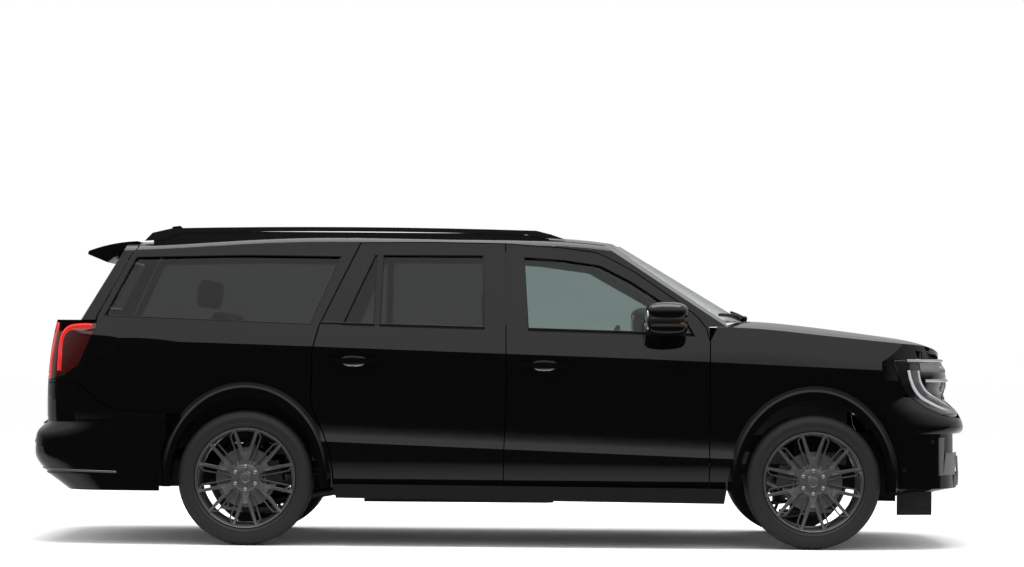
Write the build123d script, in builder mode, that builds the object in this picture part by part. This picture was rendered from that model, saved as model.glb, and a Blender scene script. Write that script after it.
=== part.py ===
"""Full-size sport utility vehicle with a long wheelbase, three rows and a split tailgate.

Frame: +X forward, +Y to the left, +Z up, in millimetres. The origin is on the ground, at the
middle of the overall length and width. The body panels are cut from three lofted forms, the
lower body, the cabin top and the nose and tail, so neighbouring panels share one surface and
one shut line. The left side is modelled and mirrored.
"""

import math
import os

from build123d import *

os.makedirs("parts", exist_ok=True)

# ---- driving dimensions -------------------------------------------------------------------
overall_length = 5636
wheelbase = 3343
front_overhang = 968
rear_step = 30  # the rear bumper stands this far ahead of the overall length
track = 1714
body_half_width = 1000  # widest point of the doors, on the lower crease
door_depth = 130  # from the widest point to the inner face of a door
ground_clearance = 345  # underside of the rocker panels
datum_shift = 17  # outlines are drawn from a datum this far behind the middle of the length

tyre_radius = 398
tyre_width = 284
rim_radius = 284
rim_flange_radius = 297
hub_radius = 82
spoke_pairs = 6
disc_radius = 176
disc_thickness = 30

arch_half_length = 437  # wheel opening, half an oval about the wheel centre
arch_height = 478
flare_half_length = 508  # outer edge of the arch moulding
flare_height = 572
flare_reach = 1012  # half width over the arch mouldings

shut_gap = 6  # between moving panels
seam = 3  # between fixed panels
glass_thickness = 6
frame_wall = 46  # thickness of the cabin top's walls
pillar_wall = 34  # inner pillars behind the door frames

rail_half_width = 470  # outer faces of the frame rails
rail_width = 80
rail_height = 140
rail_top = 470  # the floor sits on the rails here

# ---- derived places -----------------------------------------------------------------------
front_x = overall_length / 2
rear_x = -front_x
front_axle_x = front_x - front_overhang
rear_axle_x = front_axle_x - wheelbase
wheel_y = track / 2
floor_half_width = body_half_width - door_depth
floor_z = rail_top + 6
far = 3200  # larger than the vehicle, for cutting shapes


# ---- shared curves ------------------------------------------------------------------------
def bow(x):
    """How far the body side draws in from its widest, towards the nose and the tail."""
    return 3.2e-5 * max(0.0, x - 1300) ** 2 + 2.8e-5 * max(0.0, -1300 - x) ** 2


def ledge_height(x):
    """Height of the lower crease, where the door skin turns out over the rocker."""
    return 580 - 0.035 * x


def shoulder_height(x):
    """Height of the upper crease that runs from the tail lamps to the headlamps."""
    return 1141 - 0.0295 * x if x < 900 else 1114.5 - 0.04 * (x - 900)


def side_top(x):
    """Height of the outer top edge of the lower body: belt, then the crown of the front wings."""
    if x < 1150:
        return 1300 - 0.012 * x
    nose_drop = 1.46e-8 * max(0.0, x - 2400) ** 4
    return 1305 - 0.05 * max(0.0, x - 1300) - 2.9e-5 * max(0.0, x - 1300) ** 2 - nose_drop


def hood_crown(x):
    """How far the middle of the hood stands over its edges."""
    rise = math.sin(min(1.0, max(0.0, (x - 1150) / 400)) * math.pi / 2)
    return 12 + 48 * rise - 2.6e-5 * max(0.0, x - 1550) ** 2


def belt(x):
    """Lower edge of the side windows; it falls towards the front."""
    return 1277 - 0.0235 * x


def skin_offset(x, z):
    """Depth of the body side inside its widest line: tucked rocker, ledge, hollow, shoulder."""
    ledge, shoulder, top = ledge_height(x), shoulder_height(x), side_top(x)
    if z <= ledge:
        t = (ledge - z) / (ledge - ground_clearance)
        return 12 * t + 46 * t**2
    if z <= shoulder:
        t = (z - ledge) / (shoulder - ledge)
        return 24 * (1 - math.exp(-t / 0.06)) - 16 * t**2
    t = (z - shoulder) / (top - shoulder)
    return 8 + 30 * t + 20 * t**2


def skin_y(x, z):
    return body_half_width - bow(x) - skin_offset(x, z)


def roof_height(x):
    """Height of the roof's centre line."""
    ahead = max(0.0, x + 100)
    return 1866 - (1.15e-5 if x > -700 else 2.6e-5) * (x + 700) ** 2 - 6.7e-11 * ahead**4 * (x < 900)


def roof_edge(x):
    """Height at which the cabin sides turn into the roof."""
    return roof_height(min(x, 640)) - 94 - 0.25 * max(0.0, x - 640)


def cabin_y(x, z):
    """Half width of the cabin top at height z, leaning in towards the roof."""
    t = (z - 1290) / 480
    narrowing = 2.2e-5 * max(0.0, -x - 900) ** 2 + 1.2e-5 * max(0.0, x - 200) ** 2
    return 938 - 146 * t - 30 * t**2 - narrowing


# ---- private helpers ----------------------------------------------------------------------
def block(x0, x1, y0, y1, z0, z1):
    """A block given by its two corners."""
    return Pos((x0 + x1) / 2, (y0 + y1) / 2, (z0 + z1) / 2) * Box(x1 - x0, y1 - y0, z1 - z0, mode=Mode.PRIVATE)


def outline_prism(plane, points, amount):
    """A prism from a closed outline on a plane."""
    with BuildSketch(plane, mode=Mode.PRIVATE) as outline:
        with BuildLine():
            Polyline(*points, close=True)
        make_face()
    return extrude(outline.sketch, amount=amount, mode=Mode.PRIVATE)


def side_prism(points, near=0, reach=1200):
    """A prism across the car, from an outline given in X and Z, between two values of Y."""
    return outline_prism(Plane.XZ.offset(-near), points, near - reach)


def front_prism(points, x0, x1):
    """A prism along the car, from an outline given in Y and Z."""
    return outline_prism(Plane.YZ.offset(x0), points, x1 - x0)


def plan_prism(points, z0, z1):
    """An upright prism, from an outline given in X and Y."""
    return outline_prism(Plane.XY.offset(z0), points, z1 - z0)


def mirrored(shape):
    return mirror(shape, about=Plane.XZ, mode=Mode.PRIVATE)


def both_sides(shape):
    return shape + mirrored(shape)


def rod(start, end, radius):
    """A round bar between two points."""
    line = Edge.make_line(start, end)
    with BuildSketch(Plane(start, z_dir=line % 0), mode=Mode.PRIVATE) as ring:
        Circle(radius)
    return extrude(ring.sketch, amount=line.length, mode=Mode.PRIVATE)


def moved(points, dx, dz=0):
    return [(x + dx, z + dz) for x, z in points]


def save(name, part, mirror_name=None):
    """Label and save a piece in the shared frame, and its mirror image where one is named."""
    part = Pos(-datum_shift, 0, 0) * part
    part.label = name
    export_step(part, f"parts/{name}.step")
    if mirror_name:
        other = mirrored(part)
        other.label = mirror_name
        export_step(other, f"parts/{mirror_name}.step")


# ---- lower body form ----------------------------------------------------------------------
def lower_section(x):
    """Closed cross-section of the lower body at x."""
    bottom, ledge, shoulder, top = ground_clearance, ledge_height(x), shoulder_height(x), side_top(x)
    runs = [
        [bottom, (bottom + ledge) / 2, ledge],
        [ledge + part * (shoulder - ledge) for part in (0, 0.05, 0.14, 0.35, 0.7, 1)],
        [shoulder, (shoulder + top) / 2, top],
    ]
    with BuildSketch(Plane.YZ.offset(x)) as section:
        with BuildLine():
            for side in (-1, 1):
                for levels in runs:
                    Spline(*[(side * skin_y(x, z), z) for z in levels])
            Line((-skin_y(x, bottom), bottom), (skin_y(x, bottom), bottom))
            edge = skin_y(x, top)
            ThreePointArc((-edge, top), (0, top + hood_crown(x)), (edge, top))
        make_face()
    return section.sketch


with BuildPart() as lower_form:
    for x in (-2900, -2300, -1493, -600, 300, 1000, 1300, 1850, 2350, 2500, 2600, 2700):
        add(lower_section(x))
    loft()


# ---- cabin top form -----------------------------------------------------------------------
cabin_stations = (-2750, -2200, -1500, -700, 100, 640, 1100, 1700)
cabin_base = 1240


def cabin_section(x):
    """Cross-section of the left half of the cabin top at x: side, turn to the roof, crown."""
    edge = roof_edge(x)
    levels = [cabin_base + part * (edge - cabin_base) for part in (0, 1 / 3, 2 / 3, 1)]
    eave = cabin_y(x, edge)
    with BuildSketch(Plane.YZ.offset(x)) as section:
        with BuildLine():
            Spline(*[(cabin_y(x, z), z) for z in levels])
            ThreePointArc((eave, edge), (eave - 22, edge + 43), (eave - 68, edge + 62))
            crown = edge + 94
            ThreePointArc((eave - 68, edge + 62), ((eave - 68) / 2, edge + 86), (0, crown))
            Polyline((0, crown), (0, cabin_base), (cabin_y(x, cabin_base), cabin_base))
        make_face()
    return section.sketch


def cabin_core(inset):
    """The hollow of the left half of the cabin top, behind walls of a given thickness."""
    with BuildPart(mode=Mode.PRIVATE) as core:
        for x in (-2750, -1500, -700, 100, 640, 1700):
            edge = roof_edge(x)
            eave = cabin_y(x, edge) - inset
            with BuildSketch(Plane.YZ.offset(x)):
                with BuildLine():
                    middle = (cabin_base + edge) / 2
                    Polyline(
                        (-50, cabin_base - 40),
                        (cabin_y(x, cabin_base - 40) - inset, cabin_base - 40),
                        (cabin_y(x, middle) - inset, middle),
                        (eave, edge - 0.4 * inset),
                        (eave - 66, edge + 62 - 0.4 * inset),
                        (-50, edge + 94 - 0.4 * inset),
                        close=True,
                    )
                make_face()
        loft(ruled=True)
    return core.part


def swept_cutter(base_x, base_z, side_x, half, run, rise, ahead):
    """Everything in front of (or behind) a window's surface, an arc in plan carried up a slope."""
    drop = 300
    shift = -drop * run / rise
    wide = 1.6
    tip = base_x + (side_x - base_x) * wide**2 + shift
    back = base_x + shift + (1400 if ahead else -1400)
    with BuildSketch(Plane.XY.offset(base_z - drop), mode=Mode.PRIVATE) as plan:
        with BuildLine():
            ThreePointArc((tip, -half * wide), (base_x + shift, 0), (tip, half * wide))
            Polyline((tip, half * wide), (back, half * wide), (back, -half * wide), (tip, -half * wide))
        make_face()
    return extrude(plan.sketch, amount=1700, dir=(run, 0, rise), mode=Mode.PRIVATE)


def windshield_cutter(depth):
    """Everything ahead of the windshield, moved in by a depth measured square to the glass."""
    return Pos(-depth / 0.511, 0, 0) * swept_cutter(1509, 1349, 1283, 850, -669, 398, True)


def rear_glass_cutter(depth):
    """Everything behind the rear window."""
    return Pos(depth / 0.853, 0, 0) * swept_cutter(-2549, 1337, -2470, 850, 196, 320, False)


with BuildPart() as cabin_form:
    for x in cabin_stations:
        add(cabin_section(x))
    loft()
    add(windshield_cutter(0), mode=Mode.SUBTRACT)
    add(rear_glass_cutter(0), mode=Mode.SUBTRACT)


# ---- nose and tail forms ------------------------------------------------------------------
def nose_section(z, setback, inset=0.0):
    """Plan of the nose at height z: a gentle bow with corners that run into the wings."""
    points = [
        (front_x - setback, 0),
        (front_x - 10 - setback, 300),
        (front_x - 34 - setback, 550),
        (front_x - 72 - setback, 700),
        (front_x - 140 - 0.95 * setback, 820),
        (front_x - 250 - 0.9 * setback, 898),
        (front_x - 420 - 0.5 * setback, 940),
        (front_x - 570, 953),
    ]
    points = [(x - inset, y - inset * y / 950) for x, y in points]
    with BuildSketch(Plane.XY.offset(z), mode=Mode.PRIVATE) as plan:
        with BuildLine():
            Spline(*[(x, -y) for x, y in points[:0:-1]], *points)
            end = points[-1]
            Polyline(end, (front_x - 900, end[1]), (front_x - 900, -end[1]), (end[0], -end[1]))
        make_face()
    return plan.sketch


def nose_form(levels, inset=0.0):
    """Solid of the nose through plans at heights with setbacks."""
    with BuildPart(mode=Mode.PRIVATE) as form:
        for z, setback in levels:
            add(nose_section(z, setback, inset))
        loft(ruled=len(levels) == 2)
    return form.part


def tail_section(z, setback, inset=0.0):
    """Plan of the tail at height z."""
    points = [
        (setback, 0),
        (5 + setback, 400),
        (18 + setback, 680),
        (56 + setback, 830),
        (150 + 0.9 * setback, 905),
        (310 + 0.6 * setback, 945),
        (520 + 0.2 * setback, 966),
    ]
    points = [(rear_x + rear_step + x + inset, y - inset * y / 950) for x, y in points]
    with BuildSketch(Plane.XY.offset(z), mode=Mode.PRIVATE) as plan:
        with BuildLine():
            Spline(*[(x, -y) for x, y in points[:0:-1]], *points)
            end = points[-1]
            Polyline(end, (rear_x + 980, end[1] + 22), (rear_x + 980, -end[1] - 22), (end[0], -end[1]))
        make_face()
    return plan.sketch


def tail_form(levels, inset=0.0):
    """Solid of the tail through plans at heights with setbacks."""
    with BuildPart(mode=Mode.PRIVATE) as form:
        for z, setback in levels:
            add(tail_section(z, setback, inset))
        loft(ruled=len(levels) == 2)
    return form.part


# ---- wheel openings and mouldings ---------------------------------------------------------
def arch_prism(x, half_length, height, near, reach):
    """A wheel opening: half an oval over the wheel centre with straight legs to the ground."""
    with BuildSketch(Plane.XZ.offset(-near), mode=Mode.PRIVATE) as opening:
        with Locations((x, tyre_radius)):
            Ellipse(half_length, height)
        with Locations((x, tyre_radius / 2)):
            Rectangle(2 * half_length, tyre_radius)
        with Locations((x, -300)):
            Rectangle(3 * half_length, 600, mode=Mode.SUBTRACT)
    return extrude(opening.sketch, amount=near - reach, mode=Mode.PRIVATE)


def arch_moulding(x):
    """Left arch moulding: a flat lip at the opening with a bevel that runs back into the skin."""
    with BuildPart(mode=Mode.PRIVATE) as moulding:
        for y, drawn_in in ((floor_half_width, 0), (flare_reach - 40, 4), (flare_reach - 6, 26), (flare_reach, 40)):
            with BuildSketch(Plane.XZ.offset(-y)):
                with BuildLine():
                    left = (x - flare_half_length + drawn_in, tyre_radius)
                    right = (x + flare_half_length - drawn_in, tyre_radius)
                    EllipticalCenterArc(
                        (x, tyre_radius), flare_half_length - drawn_in, flare_height - drawn_in, arc_size=180
                    )
                    Polyline(left, (left[0], ground_clearance), (right[0], ground_clearance), right)
                make_face()
        loft(ruled=True)
        add(arch_prism(x, arch_half_length, arch_height, 500, 1200), mode=Mode.SUBTRACT)
    return moulding.part


front_opening = arch_prism(front_axle_x, arch_half_length, arch_height, -1200, 1200)
rear_opening = arch_prism(rear_axle_x, arch_half_length, arch_height, -1200, 1200)
openings = front_opening + rear_opening

# ---- shut lines of the left side ----------------------------------------------------------
door_bottom = 372
door_inner = floor_half_width - shut_gap  # the body stays inside this behind the doors
pillar_line = [(1234, 1219), (1212, 1302), (1164, 1363), (1075, 1435), (954, 1518), (805, 1621), (640, 1712)]
door_top = [(560, 1745), (365, 1770), (28, 1792), (-400, 1797), (-829, 1792)]
centre_shut = [(34, 1283), (40, 873), (26, 552)]
rear_shut = [(-1063, 1299), (-1098, 1162), (-1109, 859), (-1085, 775), (-1038, 680), (-994, 560), (-975, 430)]
half = shut_gap / 2

front_door_outline = [
    (1234, door_bottom), *pillar_line, *door_top[:2], (28 + half, 1792), *moved(centre_shut, half), (26 + half, door_bottom)
]
rear_door_outline = [
    (26 - half, door_bottom), *moved(centre_shut, -half)[::-1], (28 - half, 1792), *door_top[3:], *rear_shut,
    (-973, door_bottom),
]
front_opening_outline = [
    (1234 + shut_gap, 300), *moved(pillar_line, shut_gap, 3), *moved(door_top[:3], 0, shut_gap), (26, 300)
]
rear_opening_outline = [
    (26, 300), (28, 1792 + shut_gap), *moved(door_top[3:4], 0, shut_gap), *moved(door_top[4:], -shut_gap, shut_gap),
    *moved(rear_shut, -shut_gap - 2), (-980, 300),
]
front_window = side_prism(
    [(164, belt(164)), (136, 1716), (380, 1700), (594, 1668), (775, 1575), (949, 1461), (1093, 1359), (1150, belt(1150))],
    500,
)
rear_window = side_prism([(-91, belt(-91)), (-103, 1724), (-700, 1722), (-712, belt(-712))], 500)
rear_pane = side_prism([(-742, belt(-742)), (-730, 1721), (-748, 1721), (-936, belt(-936))], 500)
quarter_window = side_prism([(-1118, 1303), (-945, 1712), (-1500, 1716), (-2170, 1700), (-2345, 1345)], 500)


# ---- raw left side: the lower body's wall and the cabin top's wall -------------------------
lower_wall = lower_form.part & block(-2900, 2900, floor_half_width, 1100, 300, 1500)
door_core = cabin_core(frame_wall - shut_gap)
body_core = cabin_core(frame_wall)
cabin_wall = cabin_form.part - cabin_core(frame_wall + pillar_wall)


def door_blank(outline):
    """A door before its window is cut: a thick lower wall and a frame around the glass."""
    prism = side_prism(outline, 655)
    upper = (cabin_form.part & prism) - door_core
    return (lower_wall & prism) + upper


def handle(x, z, length=268):
    """A pull handle standing off the skin on two feet."""
    y = skin_y(x, z)
    bar = block(x - length / 2, x + length / 2, y + 18, y + 32, z - 15, z + 15)
    feet = block(x - length / 2, x - length / 2 + 34, y - 14, y + 18, z - 13, z + 13)
    return bar + feet + Pos(length - 34, 0, 0) * feet


def handle_scoop(x, z):
    """The hollow behind a handle."""
    return Pos(x, skin_y(x, z) + 34, z) * scale(Sphere(50, mode=Mode.PRIVATE), (2.1, 1, 0.92), mode=Mode.PRIVATE)


with BuildPart() as front_door_left:
    add(door_blank(front_door_outline) - front_window)
    add(block(26, 26 + 24, 800, 938, 300, 1150), mode=Mode.SUBTRACT)
    add(handle_scoop(262, 1072), mode=Mode.SUBTRACT)
    add(handle(262, 1072))
save("front_door_left", front_door_left.part, "front_door_right")

with BuildPart() as rear_door_left:
    add(door_blank(rear_door_outline) - rear_window - rear_pane)
    add(handle_scoop(-860, 1090), mode=Mode.SUBTRACT)
    add(handle(-860, 1090))
save("rear_door_left", rear_door_left.part, "rear_door_right")

# ---- side glass ----------------------------------------------------------------------------

def pane(x0, x1, outline, inset=18):
    """A flat-sectioned pane that follows the wall, ruled between its two ends."""
    with BuildPart(mode=Mode.PRIVATE) as sheet:
        for x in (x0, (x0 + x1) / 2, x1):
            levels = (1236, 1500, 1740)
            outer = [(cabin_y(x, z) - inset, z) for z in levels]
            inner = [(y - glass_thickness, z) for y, z in outer[::-1]]
            with BuildSketch(Plane.YZ.offset(x)):
                with BuildLine():
                    Polyline(*outer, *inner, close=True)
                make_face()
        loft(ruled=True)
    return sheet.part & outline


with BuildPart() as front_door_glass_left:
    add(pane(120, 1170, front_window))
save("front_door_glass_left", front_door_glass_left.part, "front_door_glass_right")
with BuildPart() as rear_door_glass_left:
    add(pane(-960, -80, rear_window + rear_pane))
save("rear_door_glass_left", rear_door_glass_left.part, "rear_door_glass_right")
with BuildPart() as quarter_glass:
    add(both_sides(pane(-2360, -930, quarter_window)))
save("quarter_glass", quarter_glass.part)

# ---- tail forms ----------------------------------------------------------------------------
gate_half = 772  # half width of the openings between the tail lamps
gate_split = 1000
gate_bottom = 746
tail_levels = [(700, 72), (900, 70), (1100, 84), (1322, 124)]
tail_outer = tail_form(tail_levels)
tail_inner = tail_form(tail_levels, 90)
gate_seam = [(-2160, 1900), (-2160, 1758), (-2200, 1709), (-2385, 1345), (-2400, 1320)]
lamp_outline = [
    (-2800, 1316), (-2400, 1316), (-2380, 1288), (-2456, 1122), (-2489, 1050), (-2575, 996), (-2698, 958), (-2800, 950)
]
lamp_prism = side_prism(lamp_outline, gate_half, 1200)
tail_trim = block(-3000, -1880, 0, 1200, 600, 1500) - tail_outer
tail_hollow = tail_inner & block(-2900, -1880, 0, floor_half_width, 600, 1500)
left_body = lower_form.part & block(-2900, 1234, gate_half + shut_gap, 1100, 340, 1302)
left_body = left_body - tail_trim - tail_hollow - block(-1881, 1300, 0, floor_half_width, 300, 1400)

# ---- body sides ----------------------------------------------------------------------------
inner_openings = side_prism([(1110, 1180), (1090, 1310), (960, 1440), (560, 1660), (130, 1716), (120, 1180)], 400)
inner_openings += side_prism([(-110, 1180), (-100, 1716), (-780, 1716), (-980, 1180)], 400)
cabin_side = cabin_wall & side_prism(
    [(1290, 1236), (1500, 1330), (700, 1900), *moved(gate_seam[:4], 4), (-2396, 1236)], 500
)
cabin_side = cabin_side - block(-3000, 3000, 0, 655, 1200, 2000) - inner_openings - quarter_window
door_recess = side_prism(front_opening_outline, 500) + side_prism(rear_opening_outline, 500)
cabin_side = cabin_side - (door_recess - body_core)
belt_recess = side_prism(front_opening_outline, door_inner) + side_prism(rear_opening_outline, door_inner)
cabin_side = cabin_side - (belt_recess & block(-3000, 3000, 0, 1200, 300, 1312)) - Pos(seam, 0, 0) * lamp_prism
cabin_side = cabin_side - (Pos(0, 0, seam) * lower_form.part & block(1234, 1600, 500, 1100, 1100, 1400))
cabin_side = cabin_side - block(1338, 1600, 500, 1100, 1100, 1400)

with BuildPart() as body_side_left:
    add(left_body - lamp_prism - Pos(seam, 0, 0) * lamp_prism - Pos(0, 0, -seam) * lamp_prism)
    add(side_prism([(-2900, 950), (-2493, 950), (-2327, 822), (-2240, 788), (-1953, 774), (-1880, 774), (-1880, 300),
                    (-2900, 300)], 500), mode=Mode.SUBTRACT)
    add(arch_moulding(rear_axle_x) & side_prism([(-1990, 340), (-1990, 1100), (-900, 1100), (-900, 340)], 500))
    add(rear_opening, mode=Mode.SUBTRACT)
    add(door_recess, mode=Mode.SUBTRACT)
    add(cabin_side)
    add(block(-40, 90, 806, door_inner, 440, 1330))
    add(block(-1040, 1234, 790, floor_half_width - 6, ground_clearance, floor_z))
    add(block(-1040, 1234, 790, 940, ground_clearance, door_bottom - shut_gap))
save("body_side_left", body_side_left.part, "body_side_right")

# ---- roof, windshield, cowl ----------------------------------------------------------------
with BuildPart() as roof_panel:
    left_roof = cabin_wall & block(-2156, 900, -1, 655 - seam, 1600, 2000)
    glass_hole = front_prism([(-50, 1240), (-50, 1900), (596, 1900), (596, 1794), (855, 1240)], 400, 1000)
    with BuildSketch(Plane.XZ.offset(1), mode=Mode.PRIVATE) as fin:
        with BuildLine():
            ThreePointArc((-1862, 1822), (-1922, 1860), (-1990, 1917))
            Polyline((-1990, 1917), (-2038, 1911), (-2050, 1806), (-1862, 1806), (-1862, 1822))
        make_face()
    half_fin = extrude(fin.sketch, amount=-14, mode=Mode.PRIVATE)
    add(both_sides(left_roof - (windshield_cutter(15) & glass_hole) + half_fin))
save("roof_panel", roof_panel.part)

with BuildPart() as windshield:
    add(windshield_cutter(12) - windshield_cutter(5))
    with BuildSketch(Plane.YZ.offset(500), mode=Mode.PRIVATE) as glass_outline:
        with BuildLine():
            ThreePointArc((-592, 1782), (0, 1804), (592, 1782))
            Polyline((592, 1782), (806, 1393), (806, 1345), (-806, 1345), (-806, 1393), (-592, 1782))
        make_face()
    add(extrude(glass_outline.sketch, amount=1140, mode=Mode.PRIVATE), mode=Mode.INTERSECT)
save("windshield", windshield.part)

hood_seam = 838  # half width of the hood at the cowl
hood_taper = 46  # how much narrower it is at the lamps
cowl_tip = 1552
wing_inner = hood_seam - hood_taper - 30  # the wings reach in this far under the hood's edges
cowl_half = wing_inner - seam
top_skin = lower_form.part - Pos(0, 0, -24) * lower_form.part


def hood_plan(grow=0.0, rear_shift=0.0):
    """Outline of the hood in plan: an arc along the windshield, straight sides, a bowed nose."""
    with BuildSketch(Plane.XY.offset(1000), mode=Mode.PRIVATE) as plan:
        with BuildLine():
            rear, side = 1352 + rear_shift, hood_seam + grow
            nose = hood_seam - hood_taper + grow
            ThreePointArc((rear, -side), (cowl_tip + rear_shift, 0), (rear, side))
            Line((rear, side), (2548, nose))
            bow_points = [(2594 + grow, 700 + grow), (2634 + grow, 550), (2658 + grow, 300)]
            flipped = [(x, -y) for x, y in bow_points[::-1]]
            Spline((2548, nose), *bow_points, (2668 + grow, 0), *flipped, (2548, -nose))
            Line((2548, -nose), (rear, -side))
        make_face()
    return extrude(plan.sketch, amount=500, mode=Mode.PRIVATE)


with BuildPart() as hood:
    add(top_skin & hood_plan())
save("hood", hood.part)

with BuildPart() as cowl:
    add(top_skin & block(1240, 1600, -cowl_half, cowl_half, 1200, 1400))
    add(hood_plan(0, -8), mode=Mode.SUBTRACT)
    add(windshield_cutter(2), mode=Mode.INTERSECT)
save("cowl", cowl.part)

# ---- front wings ---------------------------------------------------------------------------
wing_rear = 1235 + shut_gap
with BuildPart() as fender_left:
    wing_zone = side_prism([(wing_rear, 340), (wing_rear, 1225), (1300, 1340), (2750, 1340), (2750, 1139),
                            (2656, 1136), (2309, 1121), (2359, 981), (2398, 918), (2262, 836), (2330, 340)], wing_inner)
    add(lower_form.part & wing_zone)
    add(block(2250, 2900, 0, 1200, 1000, 1500) - nose_form([(980, 105), (1500, 266)]), mode=Mode.SUBTRACT)
    add(Pos(0, 0, -34) * lower_form.part & block(1200, 2500, 0, floor_half_width, 0, 1500), mode=Mode.SUBTRACT)
    add(block(1200, 2500, 0, floor_half_width, 300, 1100), mode=Mode.SUBTRACT)
    add(hood_plan(8, -2 * shut_gap), mode=Mode.SUBTRACT)
    add(arch_moulding(front_axle_x) & side_prism([(1260, 340), (1260, 1100), (2500, 1100), (2500, 340)], 500))
    add(front_opening, mode=Mode.SUBTRACT)
save("fender_left", fender_left.part, "fender_right")

# ---- nose: bumper, lower grille, grille, lamps ---------------------------------------------
upper_bar = [(686, 14), (700, 0), (752, 2), (800, 26), (855, 78), (902, 122)]
lamp_edge = [(2312, 1117), (2656, 1132), (2900, 1122), (2900, 775), (2737, 781), (2628, 796), (2515, 846), (2409, 914),
             (2363, 981)]
grille_half = 560
lower_bar = [(361, 34), (460, 24), (556, 30)]
wing_cut = side_prism([(2400, 918), (2262, 836), (2330, 340), (2330, 100), (1500, 100), (1500, 1300), (2300, 1300)], -1200)
wing_cut = Pos(seam, 0, 0) * wing_cut
moulding_cut = both_sides(arch_prism(front_axle_x, flare_half_length + seam, flare_height, 700, 1200))
nose_cutaway = block(1800, 2630, -780, 780, 100, 1300)
with BuildPart() as front_bumper:
    add(nose_form(upper_bar) - nose_form([(684, 60), (904, 60)], 60))
    sides = nose_form([(361, 34), (686, 40)]) - nose_form([(359, 34), (688, 40)], 60)
    add(sides - block(1800, 3000, -705, 705, 300, 700))
    chin = nose_form([(312, 250), (361, 34)]) - nose_form([(300, 210), (363, 70)], 60)
    add(chin)
    lamp_hole = side_prism(moved(lamp_edge, -seam, -seam), grille_half, 1200)
    add(both_sides(lamp_hole), mode=Mode.SUBTRACT)
    add(wing_cut, mode=Mode.SUBTRACT)
    add(moulding_cut, mode=Mode.SUBTRACT)
    add(front_opening, mode=Mode.SUBTRACT)
save("front_bumper", front_bumper.part)

with BuildPart() as lower_grille:
    add(nose_form([(364, 60), (683, 110)]) - nose_form([(360, 60), (690, 110)], 40))
    add(block(1800, 3000, -702, 702, 300, 700), mode=Mode.INTERSECT)
    add(nose_form([(364, 34), (440, 30)]) & block(2640, 3000, -702, 702, 300, 700))
    for z in (500, 560, 620):
        add(nose_form([(z, 84), (z + 16, 84)]) & block(2640, 3000, -690, 690, 300, 700))
save("lower_grille", lower_grille.part)

grille_levels = [(908, 120), (988, 106), (1060, 116), (1128, 138)]
grille_zone = side_prism([(2500, 908), (2900, 908), (2900, 1122), (2500, 1122)], -grille_half, grille_half)
with BuildPart() as grille:
    backing = nose_form(grille_levels, 46) - nose_form(grille_levels, 62)
    add(backing & grille_zone)
    rim = nose_form(grille_levels) - nose_form(grille_levels, 60)
    window = front_prism([(-528, 930), (-540, 1104), (540, 1104), (528, 930)], 2300, 2900)
    add((rim & grille_zone) - window)
    for row in range(4):
        z = 947 + 38 * row
        add((nose_form([(z, 116), (z + 17, 116)]) - nose_form([(z - 1, 116), (z + 18, 116)], 56)) & window)
    add(block(2400, 2900, -900, 900, 1111, 1300), mode=Mode.SUBTRACT)
save("grille", grille.part)

lamp_levels = [(781, 34), (855, 84), (908, 118), (988, 104), (1060, 112), (1128, 138)]
with BuildPart() as headlamps:
    shell = nose_form(lamp_levels) - nose_form([(775, 34), *lamp_levels[1:-1], (1134, 138)], 100)
    add(shell & side_prism(lamp_edge, grille_half + seam, 1200))
    add(mirrored(headlamps.part))
save("headlamps", headlamps.part)

# ---- tail: gates, lamps, bumper ------------------------------------------------------------
gate_rear = [(-2164, 1900), (-2164, 1758), (-2204, 1709), (-2389, 1345), (-2420, 1236), (-2900, 1236), (-2900, 1900)]
upper_gate_wall = (cabin_form.part - (cabin_core(frame_wall) - rear_glass_cutter(44))) & side_prism(gate_rear, -2)
upper_gate_wall = upper_gate_wall - front_prism([(-1, 1404), (-1, 1690), (648, 1690), (756, 1404)], -2900, -2190)
gate_wall = (tail_outer - tail_inner) & block(-2900, -2400, -gate_half, gate_half, gate_split, 1322)
with BuildPart() as liftgate:
    lower_trim = block(-2900, -2100, gate_half - 2, 1200, 1200, 1322) + block(-2900, -2100, -1, gate_half, 1200, 1296)
    add(both_sides(upper_gate_wall - lower_trim))
    add(gate_wall)
    add(tail_outer & block(-2900, -2380, -gate_half, gate_half, 1288, 1322))
    with BuildSketch(Plane.XZ):
        with BuildLine():
            Spline((-2170, 1796), (-2320, 1778), (-2463, 1736))
            Polyline((-2463, 1736), (-2470, 1716), (-2353, 1668), (-2230, 1760), (-2170, 1796))
        make_face()
    extrude(amount=676, both=True)
save("liftgate", liftgate.part)
with BuildPart() as liftgate_glass:
    add(rear_glass_cutter(20) - rear_glass_cutter(14))
    add(front_prism([(-748, 1410), (-643, 1684), (643, 1684), (748, 1410)], -2900, -2190), mode=Mode.INTERSECT)
save("liftgate_glass", liftgate_glass.part)
gate_hinge_x, gate_hinge_z = -2730, 752  # the tailgate turns down about this line
with BuildPart() as tailgate:
    add((tail_outer - tail_inner) & block(-2900, -2400, -gate_half, gate_half, gate_bottom, gate_split - shut_gap))
    add(rod((gate_hinge_x, -900, gate_hinge_z), (gate_hinge_x, 900, gate_hinge_z), 243), mode=Mode.INTERSECT)
save("tailgate", tailgate.part)
with BuildPart() as tail_lamps:
    add((left_body & side_prism(lamp_outline, gate_half + shut_gap, 1200)) - tail_form(tail_levels, 60))
    add(mirrored(tail_lamps.part))
save("tail_lamps", tail_lamps.part)

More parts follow.
